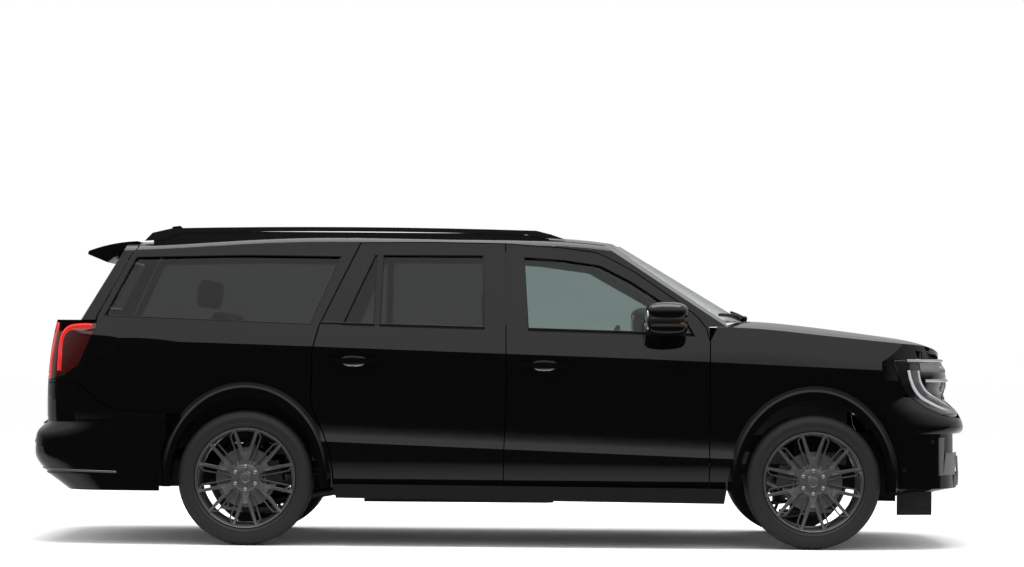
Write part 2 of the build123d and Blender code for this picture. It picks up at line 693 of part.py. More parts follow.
bumper_levels = [(412, 70), (470, 26), (560, 0), (610, 2), (655, 12), (700, 54), (738, 74)]
with BuildPart() as rear_bumper:
    add(tail_form(bumper_levels) - tail_form([(400, 60), (742, 60)], 60))
    add(tail_form([(318, 200), (417, 67)]) - tail_form([(316, 200), (419, 67)], 60))
    add(tail_inner & block(-2900, -1900, -870, 870, 700, 960), mode=Mode.SUBTRACT)
    cheek = left_body & side_prism([(-2900, 946), (-2495, 946), (-2330, 818), (-2242, 784), (-1953, 770), (-1900, 770),
                                    (-1900, 700), (-2900, 700)], 700)
    add(both_sides(cheek - lamp_prism))
    add(block(-1960, -1000, -1200, 1200, 200, 1000), mode=Mode.SUBTRACT)
    add(both_sides(arch_prism(rear_axle_x, flare_half_length + seam, flare_height, 700, 1200)), mode=Mode.SUBTRACT)
    add(block(-2900, -1900, -110, 110, 200, 500), mode=Mode.SUBTRACT)
save("rear_bumper", rear_bumper.part)

# ---- wheels --------------------------------------------------------------------------------
spoke_face = 98  # outer face of the spokes, from the middle of the wheel
window_radius = 256  # the rim's flat face starts here


def spoke(start, end, width_in, width_out, face, depth):
    """A tapered bar on the wheel's face between two points given by radius and angle."""
    (r0, a0), (r1, a1) = start, end
    p = Vector(r0 * math.cos(math.radians(a0)), r0 * math.sin(math.radians(a0)))
    q = Vector(r1 * math.cos(math.radians(a1)), r1 * math.sin(math.radians(a1)))
    side = Vector(-(q - p).Y, (q - p).X).normalized()
    corners = [p + side * width_in / 2, q + side * width_out / 2, q - side * width_out / 2, p - side * width_in / 2]
    return outline_prism(Plane.XZ.offset(-face), [(c.X, c.Y) for c in corners], depth)


def round_bar(radius, y0, y1):
    """A disc about the Y axis between two values of Y."""
    return Pos(0, (y0 + y1) / 2, 0) * Rot(90, 0, 0) * Cylinder(radius, y1 - y0, mode=Mode.PRIVATE)


with BuildPart() as rim_form:
    with BuildSketch(Plane.YZ):
        with BuildLine():
            Polyline((-126, rim_radius), (118, rim_radius), (118, rim_flange_radius), (128, rim_flange_radius),
                     (128, 276), (104, window_radius), (40, window_radius), (40, 250), (-126, 250), close=True)
        make_face()
    revolve(axis=Axis.Y)
    for pair in range(spoke_pairs):
        middle = 30 + 60 * pair
        for tilt in (-1, 1):
            tip = middle + 14 * tilt
            add(spoke((52, middle + 4 * tilt), (266, tip), 40, 34, spoke_face, 30))
            add(spoke((118, middle + 25 * tilt), (262, tip + 8.5 * tilt), 13, 13, spoke_face - 8, 22))
            add(spoke((126, middle + 24.5 * tilt), (146, tip - 1 * tilt), 16, 16, spoke_face - 8, 20))
    add(round_bar(hub_radius, 20, spoke_face - 4))
    add(round_bar(33, 60, spoke_face + 8))
    for lug in range(6):
        turn = Rot(0, -60 * lug - 30, 0)
        with Locations(turn * Pos(67.5, spoke_face, 0) * Rot(90, 0, 0)):
            Cylinder(14, 48, mode=Mode.SUBTRACT)
        with Locations(turn * Pos(67.5, spoke_face - 18, 0) * Rot(90, 0, 0)):
            Cylinder(9, 44)
    add(round_bar(disc_radius, 20, 20 + disc_thickness) - round_bar(104, 0, 34))

with BuildPart() as tyre_form:
    with BuildSketch(Plane.YZ):
        with BuildLine():
            wide = tyre_width / 2
            Polyline((wide - 14, rim_flange_radius + 1), (wide, 318), (wide, 372), (wide - 22, tyre_radius),
                     (22 - wide, tyre_radius), (-wide, 372), (-wide, 318), (14 - wide, rim_flange_radius + 1), close=True)
        make_face()
    revolve(axis=Axis.Y)
for place, x in (("front", front_axle_x), ("rear", rear_axle_x)):
    centre = Pos(x, wheel_y, tyre_radius)
    save(f"wheel_{place}_left", centre * rim_form.part, f"wheel_{place}_right")
    save(f"tyre_{place}_left", centre * tyre_form.part, f"tyre_{place}_right")

# ---- steering knuckles and suspension ------------------------------------------------------
kingpin_y = 824
hub_face_y = wheel_y + 20


def calliper(x, angle, y):
    """A brake calliper that straddles the disc at an angle about the axle."""
    body = block(disc_radius - 62, disc_radius + 32, y + 2, y + 11 + disc_thickness + 20, -62, 62)
    body = body - block(disc_radius - 80, disc_radius + 8, y + 14, y + 26 + disc_thickness, -80, 80)
    return Pos(x, 0, tyre_radius) * Rot(0, -angle, 0) * body


def knuckle(x, angle):
    """Hub carrier with upper and lower ears, and the calliper on its bracket."""
    with BuildPart(mode=Mode.PRIVATE) as carrier:
        add(Pos(x, 0, tyre_radius) * round_bar(62, kingpin_y - 40, hub_face_y - 6))
        add(block(x - 34, x + 34, kingpin_y - 30, kingpin_y + 22, 222, 552))
        add(block(x - 150, x - 20, kingpin_y - 18, kingpin_y + 12, 330, 366))
        add(calliper(x, angle, wheel_y))
        arm = Pos(x, 0, tyre_radius) * Rot(0, -angle, 0) * block(0, disc_radius + 30, kingpin_y - 10, wheel_y + 13, -26, 26)
        add(arm)
    return carrier.part


with BuildPart() as knuckle_left:
    add(knuckle(front_axle_x, 170))
save("knuckle_left", knuckle_left.part, "knuckle_right")

with BuildPart() as front_suspension:
    x = front_axle_x
    add(plan_prism([(x - 160, 476), (x - 110, 476), (x, 690), (x + 110, 476), (x + 160, 476), (x + 46, 656),
                    (x + 30, kingpin_y + 20), (x - 30, kingpin_y + 20), (x - 46, 656)], 196, 216))
    add(plan_prism([(x - 110, 476), (x - 70, 476), (x, 620), (x + 70, 476), (x + 110, 476), (x + 24, 700),
                    (x + 24, kingpin_y + 14), (x - 24, kingpin_y + 14), (x - 24, 700)], 558, 574))
    add(rod((x - 66, 590, 680), (x - 66, 606, 214), 42))
    add(rod((x - 130, 476, 348), (x - 130, 700, 348), 13))
    add(mirrored(front_suspension.part))
    add(rod((x - 130, -474, 348), (x - 130, 474, 348), 32))
save("front_suspension", front_suspension.part)

with BuildPart() as rear_suspension:
    x = rear_axle_x
    add(knuckle(x, 12))
    add(plan_prism([(x - 190, 476), (x - 60, 476), (x, 560), (x + 90, 476), (x + 200, 476), (x + 44, 800), (x + 30, 842),
                    (x - 30, 842), (x - 44, 800)], 190, 214))
    add(block(x - 26, x + 26, 476, 842, 556, 580))
    add(rod((x - 82, 610, 590), (x - 82, 640, 210), 52))
    add(rod((x + 20, 650, 226), (x + 640, 560, 330), 24))
    add(mirrored(rear_suspension.part))
save("rear_suspension", rear_suspension.part)

# ---- frame ---------------------------------------------------------------------------------
rail_low = rail_top - rail_height
rail_outline = [
    (2540, 440), (2540, 560), (2330, 660), (1420, 660), (1230, rail_top), (-930, rail_top), (-1130, 690), (-1900, 690),
    (-2120, 590), (-2560, 590), (-2560, 470), (-2080, 470), (-1860, 590), (-1190, 590), (-1000, rail_low), (1280, rail_low),
    (1450, 560), (2270, 560), (2400, 440),
]
with BuildPart() as frame_rails:
    add(both_sides(side_prism(rail_outline, rail_half_width - rail_width, rail_half_width)))
save("frame_rails", frame_rails.part)
inside = rail_half_width - rail_width - 1
with BuildPart() as crossmembers:
    for x, low, high in ((2480, 465, 535), (1240, 290, 350), (420, 320, 374), (-870, 338, 374), (-1090, 560, 630),
                         (-1930, 560, 630), (-2510, 524, 590)):
        add(block(x - 30, x + 30, -inside, inside, low, high))
save("crossmembers", crossmembers.part)

# ---- floor ---------------------------------------------------------------------------------
load_floor_z = 716
house_y = 690
tunnel = [(-160, floor_z), (-136, 676), (136, 676), (160, floor_z)]
with BuildPart() as floor_pan:
    sheet = [(1210, 1180), (1180, 1180), (1180, 620), (1080, floor_z + 16), (-900, floor_z + 16), (-1000, load_floor_z),
             (-2570, load_floor_z), (-2570, load_floor_z - 16), (-1012, load_floor_z - 16), (-910, floor_z),
             (1090, floor_z), (1196, 612), (1210, 640)]
    add(side_prism(sheet, -house_y, house_y))
    add(both_sides(side_prism([(1180, 700), (1180, 620), (1080, floor_z + 16), (-900, floor_z + 16), (-960, 600),
                               (-975, 600), (-912, floor_z), (1090, floor_z), (1196, 612), (1196, 700)], house_y, 786)))
    add(both_sides(block(1180, 1196, house_y, 786, 700, 1180)))
    add(front_prism(tunnel, 60, 1196))
    add(front_prism([(0.9 * y, z - 14) for y, z in tunnel], 74, 1240), mode=Mode.SUBTRACT)
    arch = arch_prism(rear_axle_x, 490, 520, house_y - 16, 858) - arch_prism(rear_axle_x, 474, 504, house_y, 900)
    add(both_sides(arch & block(-2200, -900, 0, 1000, 600, 1000)))
save("floor_pan", floor_pan.part)

with BuildPart() as wheel_liners:
    for x in (front_axle_x, rear_axle_x):
        near = 560 if x > 0 else 712
        liner = arch_prism(x, 462, 496, near, 864) - arch_prism(x, 455, 489, 500, 900)
        add(both_sides(liner & block(-3000, 3000, 0, 1000, 520, 1000)))
save("wheel_liners", wheel_liners.part)

# ---- cabin ---------------------------------------------------------------------------------
cushion_gap = 6


def cushion(x, y, width, base, depth):
    """Seat cushion with a raised front edge."""
    points = [(x - 20, base), (x, base + 90), (x - 30, base + 150), (x - 170, base + 150), (x - depth, base + 120),
              (x - depth, base)]
    return side_prism(points, y - width / 2, y + width / 2)


def backrest(x, y, width, base, height):
    """Leaning seat back with its head restraint."""
    points = [(x, base), (x + 20, base + 160), (x - 70, base + height), (x - 150, base + height), (x - 135, base)]
    back = side_prism(points, y - width / 2, y + width / 2)
    top = base + height
    head = [(x - 66, top + 20), (x - 76, top + 190), (x - 150, top + 190), (x - 170, top + 60), (x - 160, top - 10),
            (x - 70, top - 10)]
    return back + side_prism(head, y - 130, y + 130)


def legs(x, y, base, bottom):
    """Two seat runners under a cushion."""
    runner = block(x - 440, x - 40, y - 200, y - 170, bottom, base)
    return runner + Pos(0, 370, 0) * runner


seat_base = floor_z + 16 + 190
with BuildPart() as front_seats:
    for y in (-410, 410):
        add(cushion(560, y, 540, seat_base, 500) + legs(560, y, seat_base, floor_z + 17))
        add(backrest(44, y, 540, seat_base + 40, 640))
save("front_seats", front_seats.part)
with BuildPart() as second_row_seats:
    for y in (-410, 410):
        add(cushion(-420, y, 540, seat_base, 480) + legs(-420, y, seat_base, floor_z + 17))
        add(backrest(-916, y, 540, seat_base + 40, 640) & block(-2000, 0, -900, 900, 300, 1520))
save("second_row_seats", second_row_seats.part)
with BuildPart() as third_row_seat:
    add(cushion(-1230, 0, 1240, load_floor_z + 120, 440))
    add(block(-1640, -1290, -560, 560, load_floor_z + 1, load_floor_z + 120))
    for y in (-310, 310):
        add(backrest(-1682, y, 600, load_floor_z + 150, 520))
save("third_row_seat", third_row_seat.part)

wheel_x, wheel_z, wheel_lean = 668, 1150, 24
with BuildPart() as dashboard:
    with BuildSketch(Plane.XZ):
        with BuildLine():
            Spline((1170, 1255), (1040, 1268), (930, 1238), (872, 1190))
            Spline((872, 1190), (858, 1120), (900, 1010), (1010, 900))
            Polyline((1010, 900), (1120, 760), (1170, 760), (1170, 1255))
        make_face()
    extrude(amount=770, both=True)
    add(side_prism([(1010, 1262), (905, 1290), (880, 1286), (880, 1150), (1010, 1150)], 200, 640))
    add(side_prism([(905, 1180), (860, 1170), (890, 960), (935, 970)], -180, 180))
    add(side_prism([(1100, 770), (960, 900), (760, 820), (120, 800), (104, 680), (1090, 680)], -135, 135))
    with BuildSketch(Plane.XY.offset(1244), mode=Mode.PRIVATE) as shelf:
        with BuildLine():
            ThreePointArc((1290, -770), (1480, 0), (1290, 770))
            Polyline((1290, 770), (1160, 770), (1160, -770), (1290, -770))
        make_face()
    add(extrude(shelf.sketch, amount=20, mode=Mode.PRIVATE))
    lean = math.radians(wheel_lean)
    column = rod((wheel_x + 26 * math.cos(lean), 410, wheel_z - 26 * math.sin(lean)),
                 (1000, 410, wheel_z - (1000 - wheel_x) * math.tan(lean)), 42)
    add(column)
save("dashboard", dashboard.part)

with BuildPart() as steering_wheel:
    face = Plane((wheel_x, 410, wheel_z), x_dir=(0, 1, 0), z_dir=(-math.cos(lean), 0, math.sin(lean)))
    with BuildSketch(Plane(face.origin, x_dir=face.x_dir, z_dir=face.y_dir)) as section:
        with Locations((176, 0)):
            RegularPolygon(17, 6)
    revolve(axis=Axis(face.origin, face.z_dir))
    with BuildSketch(face):
        Circle(58)
        Rectangle(340, 30)
        with Locations((0, -86)):
            Rectangle(34, 172)
    extrude(amount=10, both=True)
save("steering_wheel", steering_wheel.part)

# ---- heavy and hanging pieces --------------------------------------------------------------
with BuildPart() as engine_block:
    add(block(1390, 2120, -270, 270, 480, 1120))
save("engine_block", engine_block.part)
with BuildPart() as gearbox:
    add(rod((1386, 0, 590), (1222, 0, 590), 200))
    add(rod((1240, 0, 530), (640, 0, 480), 110))
    add(block(560, 740, -60, 235, 380, 468))
save("gearbox", gearbox.part)
with BuildPart() as driveshafts:
    add(rod((556, 0, 424), (rear_axle_x + 150, 0, 424), 44))
    add(rod((rear_axle_x, -110, 424), (rear_axle_x, 110, 424), 120))
    add(rod((rear_axle_x + 60, 0, 424), (rear_axle_x + 170, 0, 424), 80))
    for side in (-1, 1):
        add(rod((rear_axle_x, 120 * side, 420), (rear_axle_x, (kingpin_y - 44) * side, tyre_radius), 20))
        add(rod((front_axle_x, 120 * side, 410), (front_axle_x, (kingpin_y - 82) * side, tyre_radius), 18))
    add(rod((front_axle_x, -130, 405), (front_axle_x, 130, 405), 70))
    add(rod((front_axle_x, 190, 410), (746, 190, 430), 28))
save("driveshafts", driveshafts.part)
with BuildPart() as fuel_tank:
    add(plan_prism([(-820, -80), (280, -80), (330, -130), (330, -330), (280, -380), (-820, -380)], 236, 318))
    with BuildSketch(Plane.XY.offset(316)):
        with Locations((-250, -230)):
            RectangleRounded(1120, 270, 60)
    extrude(amount=110)
save("fuel_tank", fuel_tank.part)
with BuildPart() as exhaust:
    add(rod((1190, 300, 282), (250, 300, 282), 32))
    add(rod((-480, 250, 300), (-1020, 250, 300), 32))
    add(rod((-1010, 250, 300), (-1260, 240, 620), 32))
    with BuildSketch(Plane.YZ.offset(-480)):
        with Locations((230, 300)):
            RectangleRounded(250, 150, 60)
    extrude(amount=740)
save("exhaust", exhaust.part)
with BuildPart() as spare_wheel:
    with BuildSketch(Plane.XZ):
        with BuildLine():
            Polyline((190, 20), (250, 40), (270, 90), (350, 100), (386, 60), (386, -60), (350, -100), (270, -90),
                     (250, -60), (190, -10), close=True)
        make_face()
    revolve(axis=Axis.Z)
    add(Cylinder(192, 30, mode=Mode.PRIVATE))
save("spare_wheel", Pos(-2106, 0, 418) * spare_wheel.part)
with BuildPart() as hitch_receiver:
    tube = 64
    socket = 51
    add(rod((-2540, -388, 445), (-2540, 388, 445), 38))
    add(block(-2720, -2500, -tube / 2, tube / 2, 445 - tube / 2, 445 + tube / 2))
    add(block(-2730, -2560, -socket / 2, socket / 2, 445 - socket / 2, 445 + socket / 2), mode=Mode.SUBTRACT)
    add(block(-2722, -2706, -40, 40, 405, 485) - block(-2740, -2700, -socket / 2, socket / 2, 419.5, 470.5))
    add(rod((-2655, -100, 445), (-2655, 100, 445), 8), mode=Mode.SUBTRACT)
save("hitch_receiver", hitch_receiver.part)

# ---- outside fittings ----------------------------------------------------------------------
board_front, board_rear = 1338, -980
with BuildPart() as running_boards:
    tread = [(board_rear, 363), (board_front, 352), (board_front - 14, 268), (board_rear + 24, 286)]
    add(side_prism(tread, 880, 1006) - block(-1200, 1500, 800, 951, ground_clearance - seam, 400))
    for x in (-640, 380, 1040):
        add(side_prism([(x - 30, 345), (x + 30, 345), (x + 20, 300), (x - 20, 300)], rail_half_width + 1, 890))
    add(mirrored(running_boards.part))
save("running_boards", running_boards.part)

with BuildPart() as roof_rails:
    rail_y = 688
    with BuildSketch(Plane.XZ.offset(-rail_y - 17)):
        with BuildLine():
            ThreePointArc((-1960, 1874), (-860, 1889), (210, 1876))
            Polyline((210, 1876), (300, 1854), (382, 1826), (250, 1834), (150, 1852))
            ThreePointArc((150, 1852), (-860, 1864), (-1890, 1850))
            Polyline((-1890, 1850), (-1950, 1832), (-2000, 1806), (-2126, 1798), (-2080, 1846), (-1960, 1874))
        make_face()
    extrude(amount=34)
    add(mirrored(roof_rails.part))
save("roof_rails", roof_rails.part)

with BuildPart() as mirror_left:
    for y, x0, x1, z0, z1 in ((1004, 868, 1010, 1262, 1432), (1060, 846, 1048, 1246, 1452), (1130, 850, 1044, 1250, 1448),
                              (1184, 872, 1010, 1278, 1420)):
        with BuildSketch(Plane.XZ.offset(-y)):
            with BuildLine():
                Polyline((x1 - 60, z0), (x0, z0 + 8), (x0 + 6, z1 - 6), (x1 - 70, z1))
                ThreePointArc((x1 - 70, z1), (x1, (z0 + z1) / 2 + 6), (x1 - 60, z0))
            make_face()
    loft(ruled=True)
    add(plan_prism([(1000, 934), (1110, 930), (1030, 1020), (950, 1030)], 1257, 1290))
save("mirror_left", mirror_left.part, "mirror_right")
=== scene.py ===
import math

import bmesh
import bpy
import numpy as np
from mathutils import Matrix


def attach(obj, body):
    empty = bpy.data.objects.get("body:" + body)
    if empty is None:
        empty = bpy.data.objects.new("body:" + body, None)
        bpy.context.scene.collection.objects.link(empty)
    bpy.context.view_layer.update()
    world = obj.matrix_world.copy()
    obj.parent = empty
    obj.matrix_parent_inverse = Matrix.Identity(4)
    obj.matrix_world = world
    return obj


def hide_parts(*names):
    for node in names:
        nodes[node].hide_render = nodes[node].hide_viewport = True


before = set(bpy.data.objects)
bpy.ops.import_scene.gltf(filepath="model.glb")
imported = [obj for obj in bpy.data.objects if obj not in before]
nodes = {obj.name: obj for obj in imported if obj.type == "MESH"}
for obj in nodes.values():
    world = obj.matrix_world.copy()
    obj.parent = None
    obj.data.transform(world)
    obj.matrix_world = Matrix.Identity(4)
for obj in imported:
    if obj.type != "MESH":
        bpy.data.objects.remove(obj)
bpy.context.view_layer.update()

# ---- studio ----------------------------------------------------------------
# A level camera 18 metres from the right side, a pale floor and a wide soft lamp overhead.
# The surround is white where it is seen, and darkens behind the camera for what the gloss mirrors.
scene = bpy.context.scene
scene.view_settings.view_transform = "Standard"
camera_data = bpy.data.cameras.new("camera")
camera_data.lens = 107.75
camera_data.sensor_width = 36.0
camera_data.shift_y = 71.5 / 1024
camera = bpy.data.objects.new("camera", camera_data)
roll = Matrix.Rotation(math.radians(-0.463), 4, "Y")
level_view = Matrix.Rotation(math.radians(90), 4, "X")
camera.matrix_world = Matrix.Translation((0.054, -19.0, 1.133)) @ roll @ level_view
scene.collection.objects.link(camera)
scene.camera = camera


def add_node(tree, kind, inputs=None, **settings):
    """One shader node with its settings; an input is a value or another node's output."""
    node = tree.nodes.new(kind)
    for key, value in settings.items():
        setattr(node, key, value)
    for key, value in (inputs or {}).items():
        if isinstance(value, bpy.types.NodeSocket):
            tree.links.new(value, node.inputs[key])
        else:
            node.inputs[key].default_value = value
    return node


white, fill, gloss_from_behind, floor_grey = 1.0, 0.62, 0.38, 0.82
surround = bpy.data.worlds.new("surround")
scene.world = surround
surround.use_nodes = True
sky = surround.node_tree
sky.nodes.clear()
ray = add_node(sky, "ShaderNodeLightPath")
toward = add_node(sky, "ShaderNodeSeparateXYZ", {0: add_node(sky, "ShaderNodeTexCoord").outputs["Generated"]})
behind = add_node(sky, "ShaderNodeMapRange", {0: toward.outputs["Y"], 1: -0.02, 2: 0.25, 3: 0.0,
                                              4: gloss_from_behind})
above = add_node(sky, "ShaderNodeMapRange", {0: toward.outputs["Z"], 1: 0.03, 2: 0.42, 3: 0.02, 4: 0.9})
mirrored_level = add_node(sky, "ShaderNodeMath", {0: behind.outputs[0], 1: above.outputs[0]},
                          operation="MAXIMUM")
seen = add_node(sky, "ShaderNodeMath", {0: ray.outputs["Is Camera Ray"],
                                        1: ray.outputs["Is Transmission Ray"]},
                operation="MAXIMUM")
light_level = add_node(sky, "ShaderNodeMix", {0: ray.outputs["Is Glossy Ray"], 2: fill,
                                              3: mirrored_level.outputs[0]})
level = add_node(sky, "ShaderNodeMix", {0: seen.outputs[0], 2: light_level.outputs[0], 3: white})
background = add_node(sky, "ShaderNodeBackground", {"Color": (1, 1, 1, 1), "Strength": level.outputs[0]})
add_node(sky, "ShaderNodeOutputWorld", {0: background.outputs[0]})

lamp_data = bpy.data.lights.new("overhead", "AREA")
lamp_data.shape = "RECTANGLE"
lamp_data.size, lamp_data.size_y = 9, 5
lamp_data.energy = 520
lamp = bpy.data.objects.new("overhead", lamp_data)
lamp.location = (0, -1, 7)
scene.collection.objects.link(lamp)

floor_mesh = bpy.data.meshes.new("floor")
floor_mesh.from_pydata([(-90, -90, 0), (90, -90, 0), (90, 90, 0), (-90, 90, 0)], [], [(0, 1, 2, 3)])
floor = bpy.data.objects.new("floor", floor_mesh)
scene.collection.objects.link(floor)
floor_finish = bpy.data.materials.new("pale_floor")
floor_finish.use_nodes = True
tree = floor_finish.node_tree
tree.nodes.clear()
ray = add_node(tree, "ShaderNodeLightPath")
across = add_node(tree, "ShaderNodeSeparateXYZ", {0: add_node(tree, "ShaderNodeTexCoord").outputs["Object"]})
# Painted shade for reflections: to the gloss only, the floor turns near black 1.05 m to 2.2 m out on the camera
# side.
floor_shade_for_gloss = add_node(tree, "ShaderNodeMapRange", {0: across.outputs["Y"], 1: -2.2, 2: -1.05, 3: 0.02,
                                                  4: floor_grey})
mirrored_floor = add_node(tree, "ShaderNodeMix", {0: ray.outputs["Is Glossy Ray"], 2: floor_grey,
                                                  3: floor_shade_for_gloss.outputs[0]})
seen_floor = add_node(tree, "ShaderNodeMix", {0: ray.outputs["Is Camera Ray"], 2: mirrored_floor.outputs[0],
                                              3: 1.6})
matt = add_node(tree, "ShaderNodeBsdfDiffuse", {"Color": seen_floor.outputs[0]})
add_node(tree, "ShaderNodeOutputMaterial", {0: matt.outputs[0]})
floor_mesh.materials.append(floor_finish)

# ---- frame, axles and underbody --------------------------------------------
# Black-dipped steel rails, crossmembers, arms and receiver, a cast gearbox and engine mass, a
# moulded tank and a stainless exhaust, all as the solids have them and bolted under the floor.


def finish(name, colour, roughness=0.5, metallic=0.0, grain=60.0, contrast=0.25, bump=0.0, **sockets):
    """Shader whose colour and roughness drift with noise on Object coordinates, with a fine bump."""
    material = bpy.data.materials.new(name)
    material.use_nodes = True
    tree = material.node_tree
    shader = tree.nodes["Principled BSDF"]
    place = add_node(tree, "ShaderNodeTexCoord").outputs["Object"]
    noise = add_node(tree, "ShaderNodeTexNoise", {"Vector": place, "Scale": grain, "Detail": 4.0})
    dark = tuple(c * (1 - contrast) for c in colour) + (1,)
    light = tuple(min(1, c * (1 + contrast)) for c in colour) + (1,)
    tint = add_node(tree, "ShaderNodeMix", {0: noise.outputs[0], 6: dark, 7: light}, data_type="RGBA")
    tree.links.new(tint.outputs[2], shader.inputs["Base Color"])
    spread = add_node(tree, "ShaderNodeMapRange", {0: noise.outputs[0], 3: roughness * 0.9,
                                                   4: roughness * 1.1})
    tree.links.new(spread.outputs[0], shader.inputs["Roughness"])
    shader.inputs["Metallic"].default_value = metallic
    for key, value in sockets.items():
        shader.inputs[key.replace("_", " ").title().replace("Ior", "IOR")].default_value = value
    if bump:
        relief = add_node(tree, "ShaderNodeBump", {"Strength": bump, "Distance": 0.001,
                                                   "Height": noise.outputs[0]})
        tree.links.new(relief.outputs[0], shader.inputs["Normal"])
    return material


def dress(material, *names):
    """Give CAD nodes a material."""
    for name in names:
        nodes[name].data.materials.clear()
        nodes[name].data.materials.append(material)


dipped_steel = finish("dipped_steel", (0.012, 0.012, 0.013), 0.42, grain=25, contrast=0.5, bump=0.3)
dress(dipped_steel, "frame_rails", "crossmembers", "front_suspension", "rear_suspension", "hitch_receiver",
      "driveshafts")
cast_iron = finish("cast_iron", (0.09, 0.085, 0.08), 0.6, 0.7, grain=300, contrast=0.3, bump=0.5)
dress(cast_iron, "knuckle_left", "knuckle_right")
cast_alloy = finish("cast_alloy", (0.35, 0.35, 0.35), 0.5, 0.85, grain=220, contrast=0.2, bump=0.4)
dress(cast_alloy, "engine_block", "gearbox")
moulded_tank = finish("moulded_tank", (0.015, 0.015, 0.016), 0.6, grain=90, bump=0.3)
dress(moulded_tank, "fuel_tank")
stainless = finish("stainless", (0.42, 0.4, 0.36), 0.35, 1.0, grain=18, contrast=0.35)
dress(stainless, "exhaust")
liner_felt = finish("liner_felt", (0.010, 0.010, 0.010), 0.95, grain=500, contrast=0.5, bump=0.8)
dress(liner_felt, "wheel_liners")
spare_rubber = finish("spare_rubber", (0.016, 0.016, 0.016), 0.75, grain=150, bump=0.4)
dress(spare_rubber, "spare_wheel")

# ---- tyres -----------------------------------------------------------------
# Low-profile road tyres of black rubber, with four grooves round the tread, slots across the
# blocks, a rim-guard rib and fine ribs on the shoulder. Each is seated on its rim.
front_axle, rear_axle, wheel_y, tyre_radius = 1.833, -1.510, 0.857, 0.398
places = {"front_left": (front_axle, 1), "front_right": (front_axle, -1), "rear_left": (rear_axle, 1),
          "rear_right": (rear_axle, -1)}


def grid_faces(rows, columns, start=0, wrap_rows=False, wrap_columns=False):
    """Quads of a grid of points, whose rows or columns may close on themselves."""
    r = np.arange(rows if wrap_rows else rows - 1)[:, None]
    c = np.arange(columns if wrap_columns else columns - 1)[None, :]
    r2, c2 = (r + 1) % rows, (c + 1) % columns
    quads = np.stack([r * columns + c, r * columns + c2, r2 * columns + c2, r2 * columns + c], -1)
    return (quads.reshape(-1, 4) + start).tolist()


def make_piece(name, parts, material, body, angle=35.0, replaces=()):
    """A smooth mesh object from closed (points, faces) shells, with normals turned outwards."""
    points, faces, start = [], [], 0
    for part_points, part_faces in parts:
        part_points = np.asarray(part_points, float).reshape(-1, 3)
        points.append(part_points)
        faces.extend([[i + start for i in face] for face in part_faces])
        start += len(part_points)
    mesh = bpy.data.meshes.new(name)
    mesh.from_pydata(np.concatenate(points).tolist(), [], faces)
    work = bmesh.new()
    work.from_mesh(mesh)
    bmesh.ops.recalc_face_normals(work, faces=work.faces)
    work.to_mesh(mesh)
    work.free()
    mesh.materials.append(material)
    piece = bpy.data.objects.new(name, mesh)
    scene.collection.objects.link(piece)
    mesh.shade_smooth()
    mesh.set_sharp_from_angle(angle=math.radians(angle))
    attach(piece, body)
    if replaces:
        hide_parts(*replaces)
    return piece


def revolved(profile, segments):
    """A closed outline of radius and Y carried round the axle: x = r sin a, z = r cos a."""
    radius, across = np.asarray(profile, float).T
    turn = np.linspace(0, 2 * np.pi, segments, endpoint=False)[:, None]
    points = np.stack([radius * np.sin(turn), across + 0 * turn, radius * np.cos(turn)], -1)
    return points, grid_faces(segments, len(radius), wrap_rows=True, wrap_columns=True)


def tyre_surface(x, side):
    """Radius and Y of the section go through bead, wall and shoulder; over the tread the radius
    drops by the groove depth where the sum of the round grooves and the slanted slots says so."""
    segments, groove_depth, rib_depth, slots_round, ribs_round = 560, 0.0065, 0.0012, 70, 140
    wall = np.array([(0.299, 0.120), (0.301, 0.1275), (0.3045, 0.1312), (0.309, 0.1335), (0.312, 0.1368),
                     (0.3155, 0.1385), (0.320, 0.1385), (0.323, 0.1372), (0.330, 0.1385), (0.340, 0.1400),
                     (0.350, 0.1405), (0.358, 0.1398), (0.360, 0.1388), (0.366, 0.1372), (0.374, 0.1335),
                     (0.381, 0.1290), (0.387, 0.1235), (0.3915, 0.1170)])
    band = np.linspace(0.112, -0.112, 57)
    tread = np.stack([0.398 - 0.28 * band**2, band], -1)
    inner = np.array([(0.299, -0.10), (0.292, -0.04), (0.292, 0.04), (0.299, 0.10)])
    profile = np.concatenate([wall, tread, wall[::-1] * (1, -1), inner])
    radius, across = profile.T
    turn = np.linspace(0, 2 * np.pi, segments, endpoint=False)[:, None]
    on_tread = (np.abs(across) < 0.1155) & (radius > 0.385)
    rounds = np.zeros(len(across), bool)
    for middle in (-0.076, -0.028, 0.028, 0.076):
        rounds |= np.abs(across - middle) < 0.0049
    pitch = (turn * slots_round / (2 * np.pi) + across * 14 * np.sign(across)) % 1.0
    slots = (pitch < 0.17) & (np.abs(across) > 0.035) & (np.abs(np.abs(across) - 0.076) > 0.004)
    depth = np.where(on_tread & (rounds | slots), groove_depth, 0.0)
    ribs = (radius > 0.361) & (radius < 0.388) & ~on_tread
    depth = depth + np.where(ribs & ((turn * ribs_round / (2 * np.pi)) % 1.0 < 0.35), rib_depth, 0.0)
    r = radius - depth
    points = np.stack([x + r * np.sin(turn), side * (wheel_y + across) + 0 * turn,
                       tyre_radius + r * np.cos(turn)], -1)
    return points, grid_faces(segments, len(radius), wrap_rows=True, wrap_columns=True)


rubber = finish("tyre_rubber", (0.014, 0.014, 0.014), 0.62, grain=400, contrast=0.35, bump=0.25)
for place, (x, side) in places.items():
    make_piece(f"tyre_tread_{place}", [tyre_surface(x, side)], rubber, f"wheel_{place}", angle=28,
               replaces=(f"tyre_{place}",))

# ---- wheels ----------------------------------------------------------------
# Alloy wheels in dark metallic lacquer: six stems that fork into slim spokes, each spoke with a
# thin companion, six nuts and a plain cap. Behind them turn the iron discs.


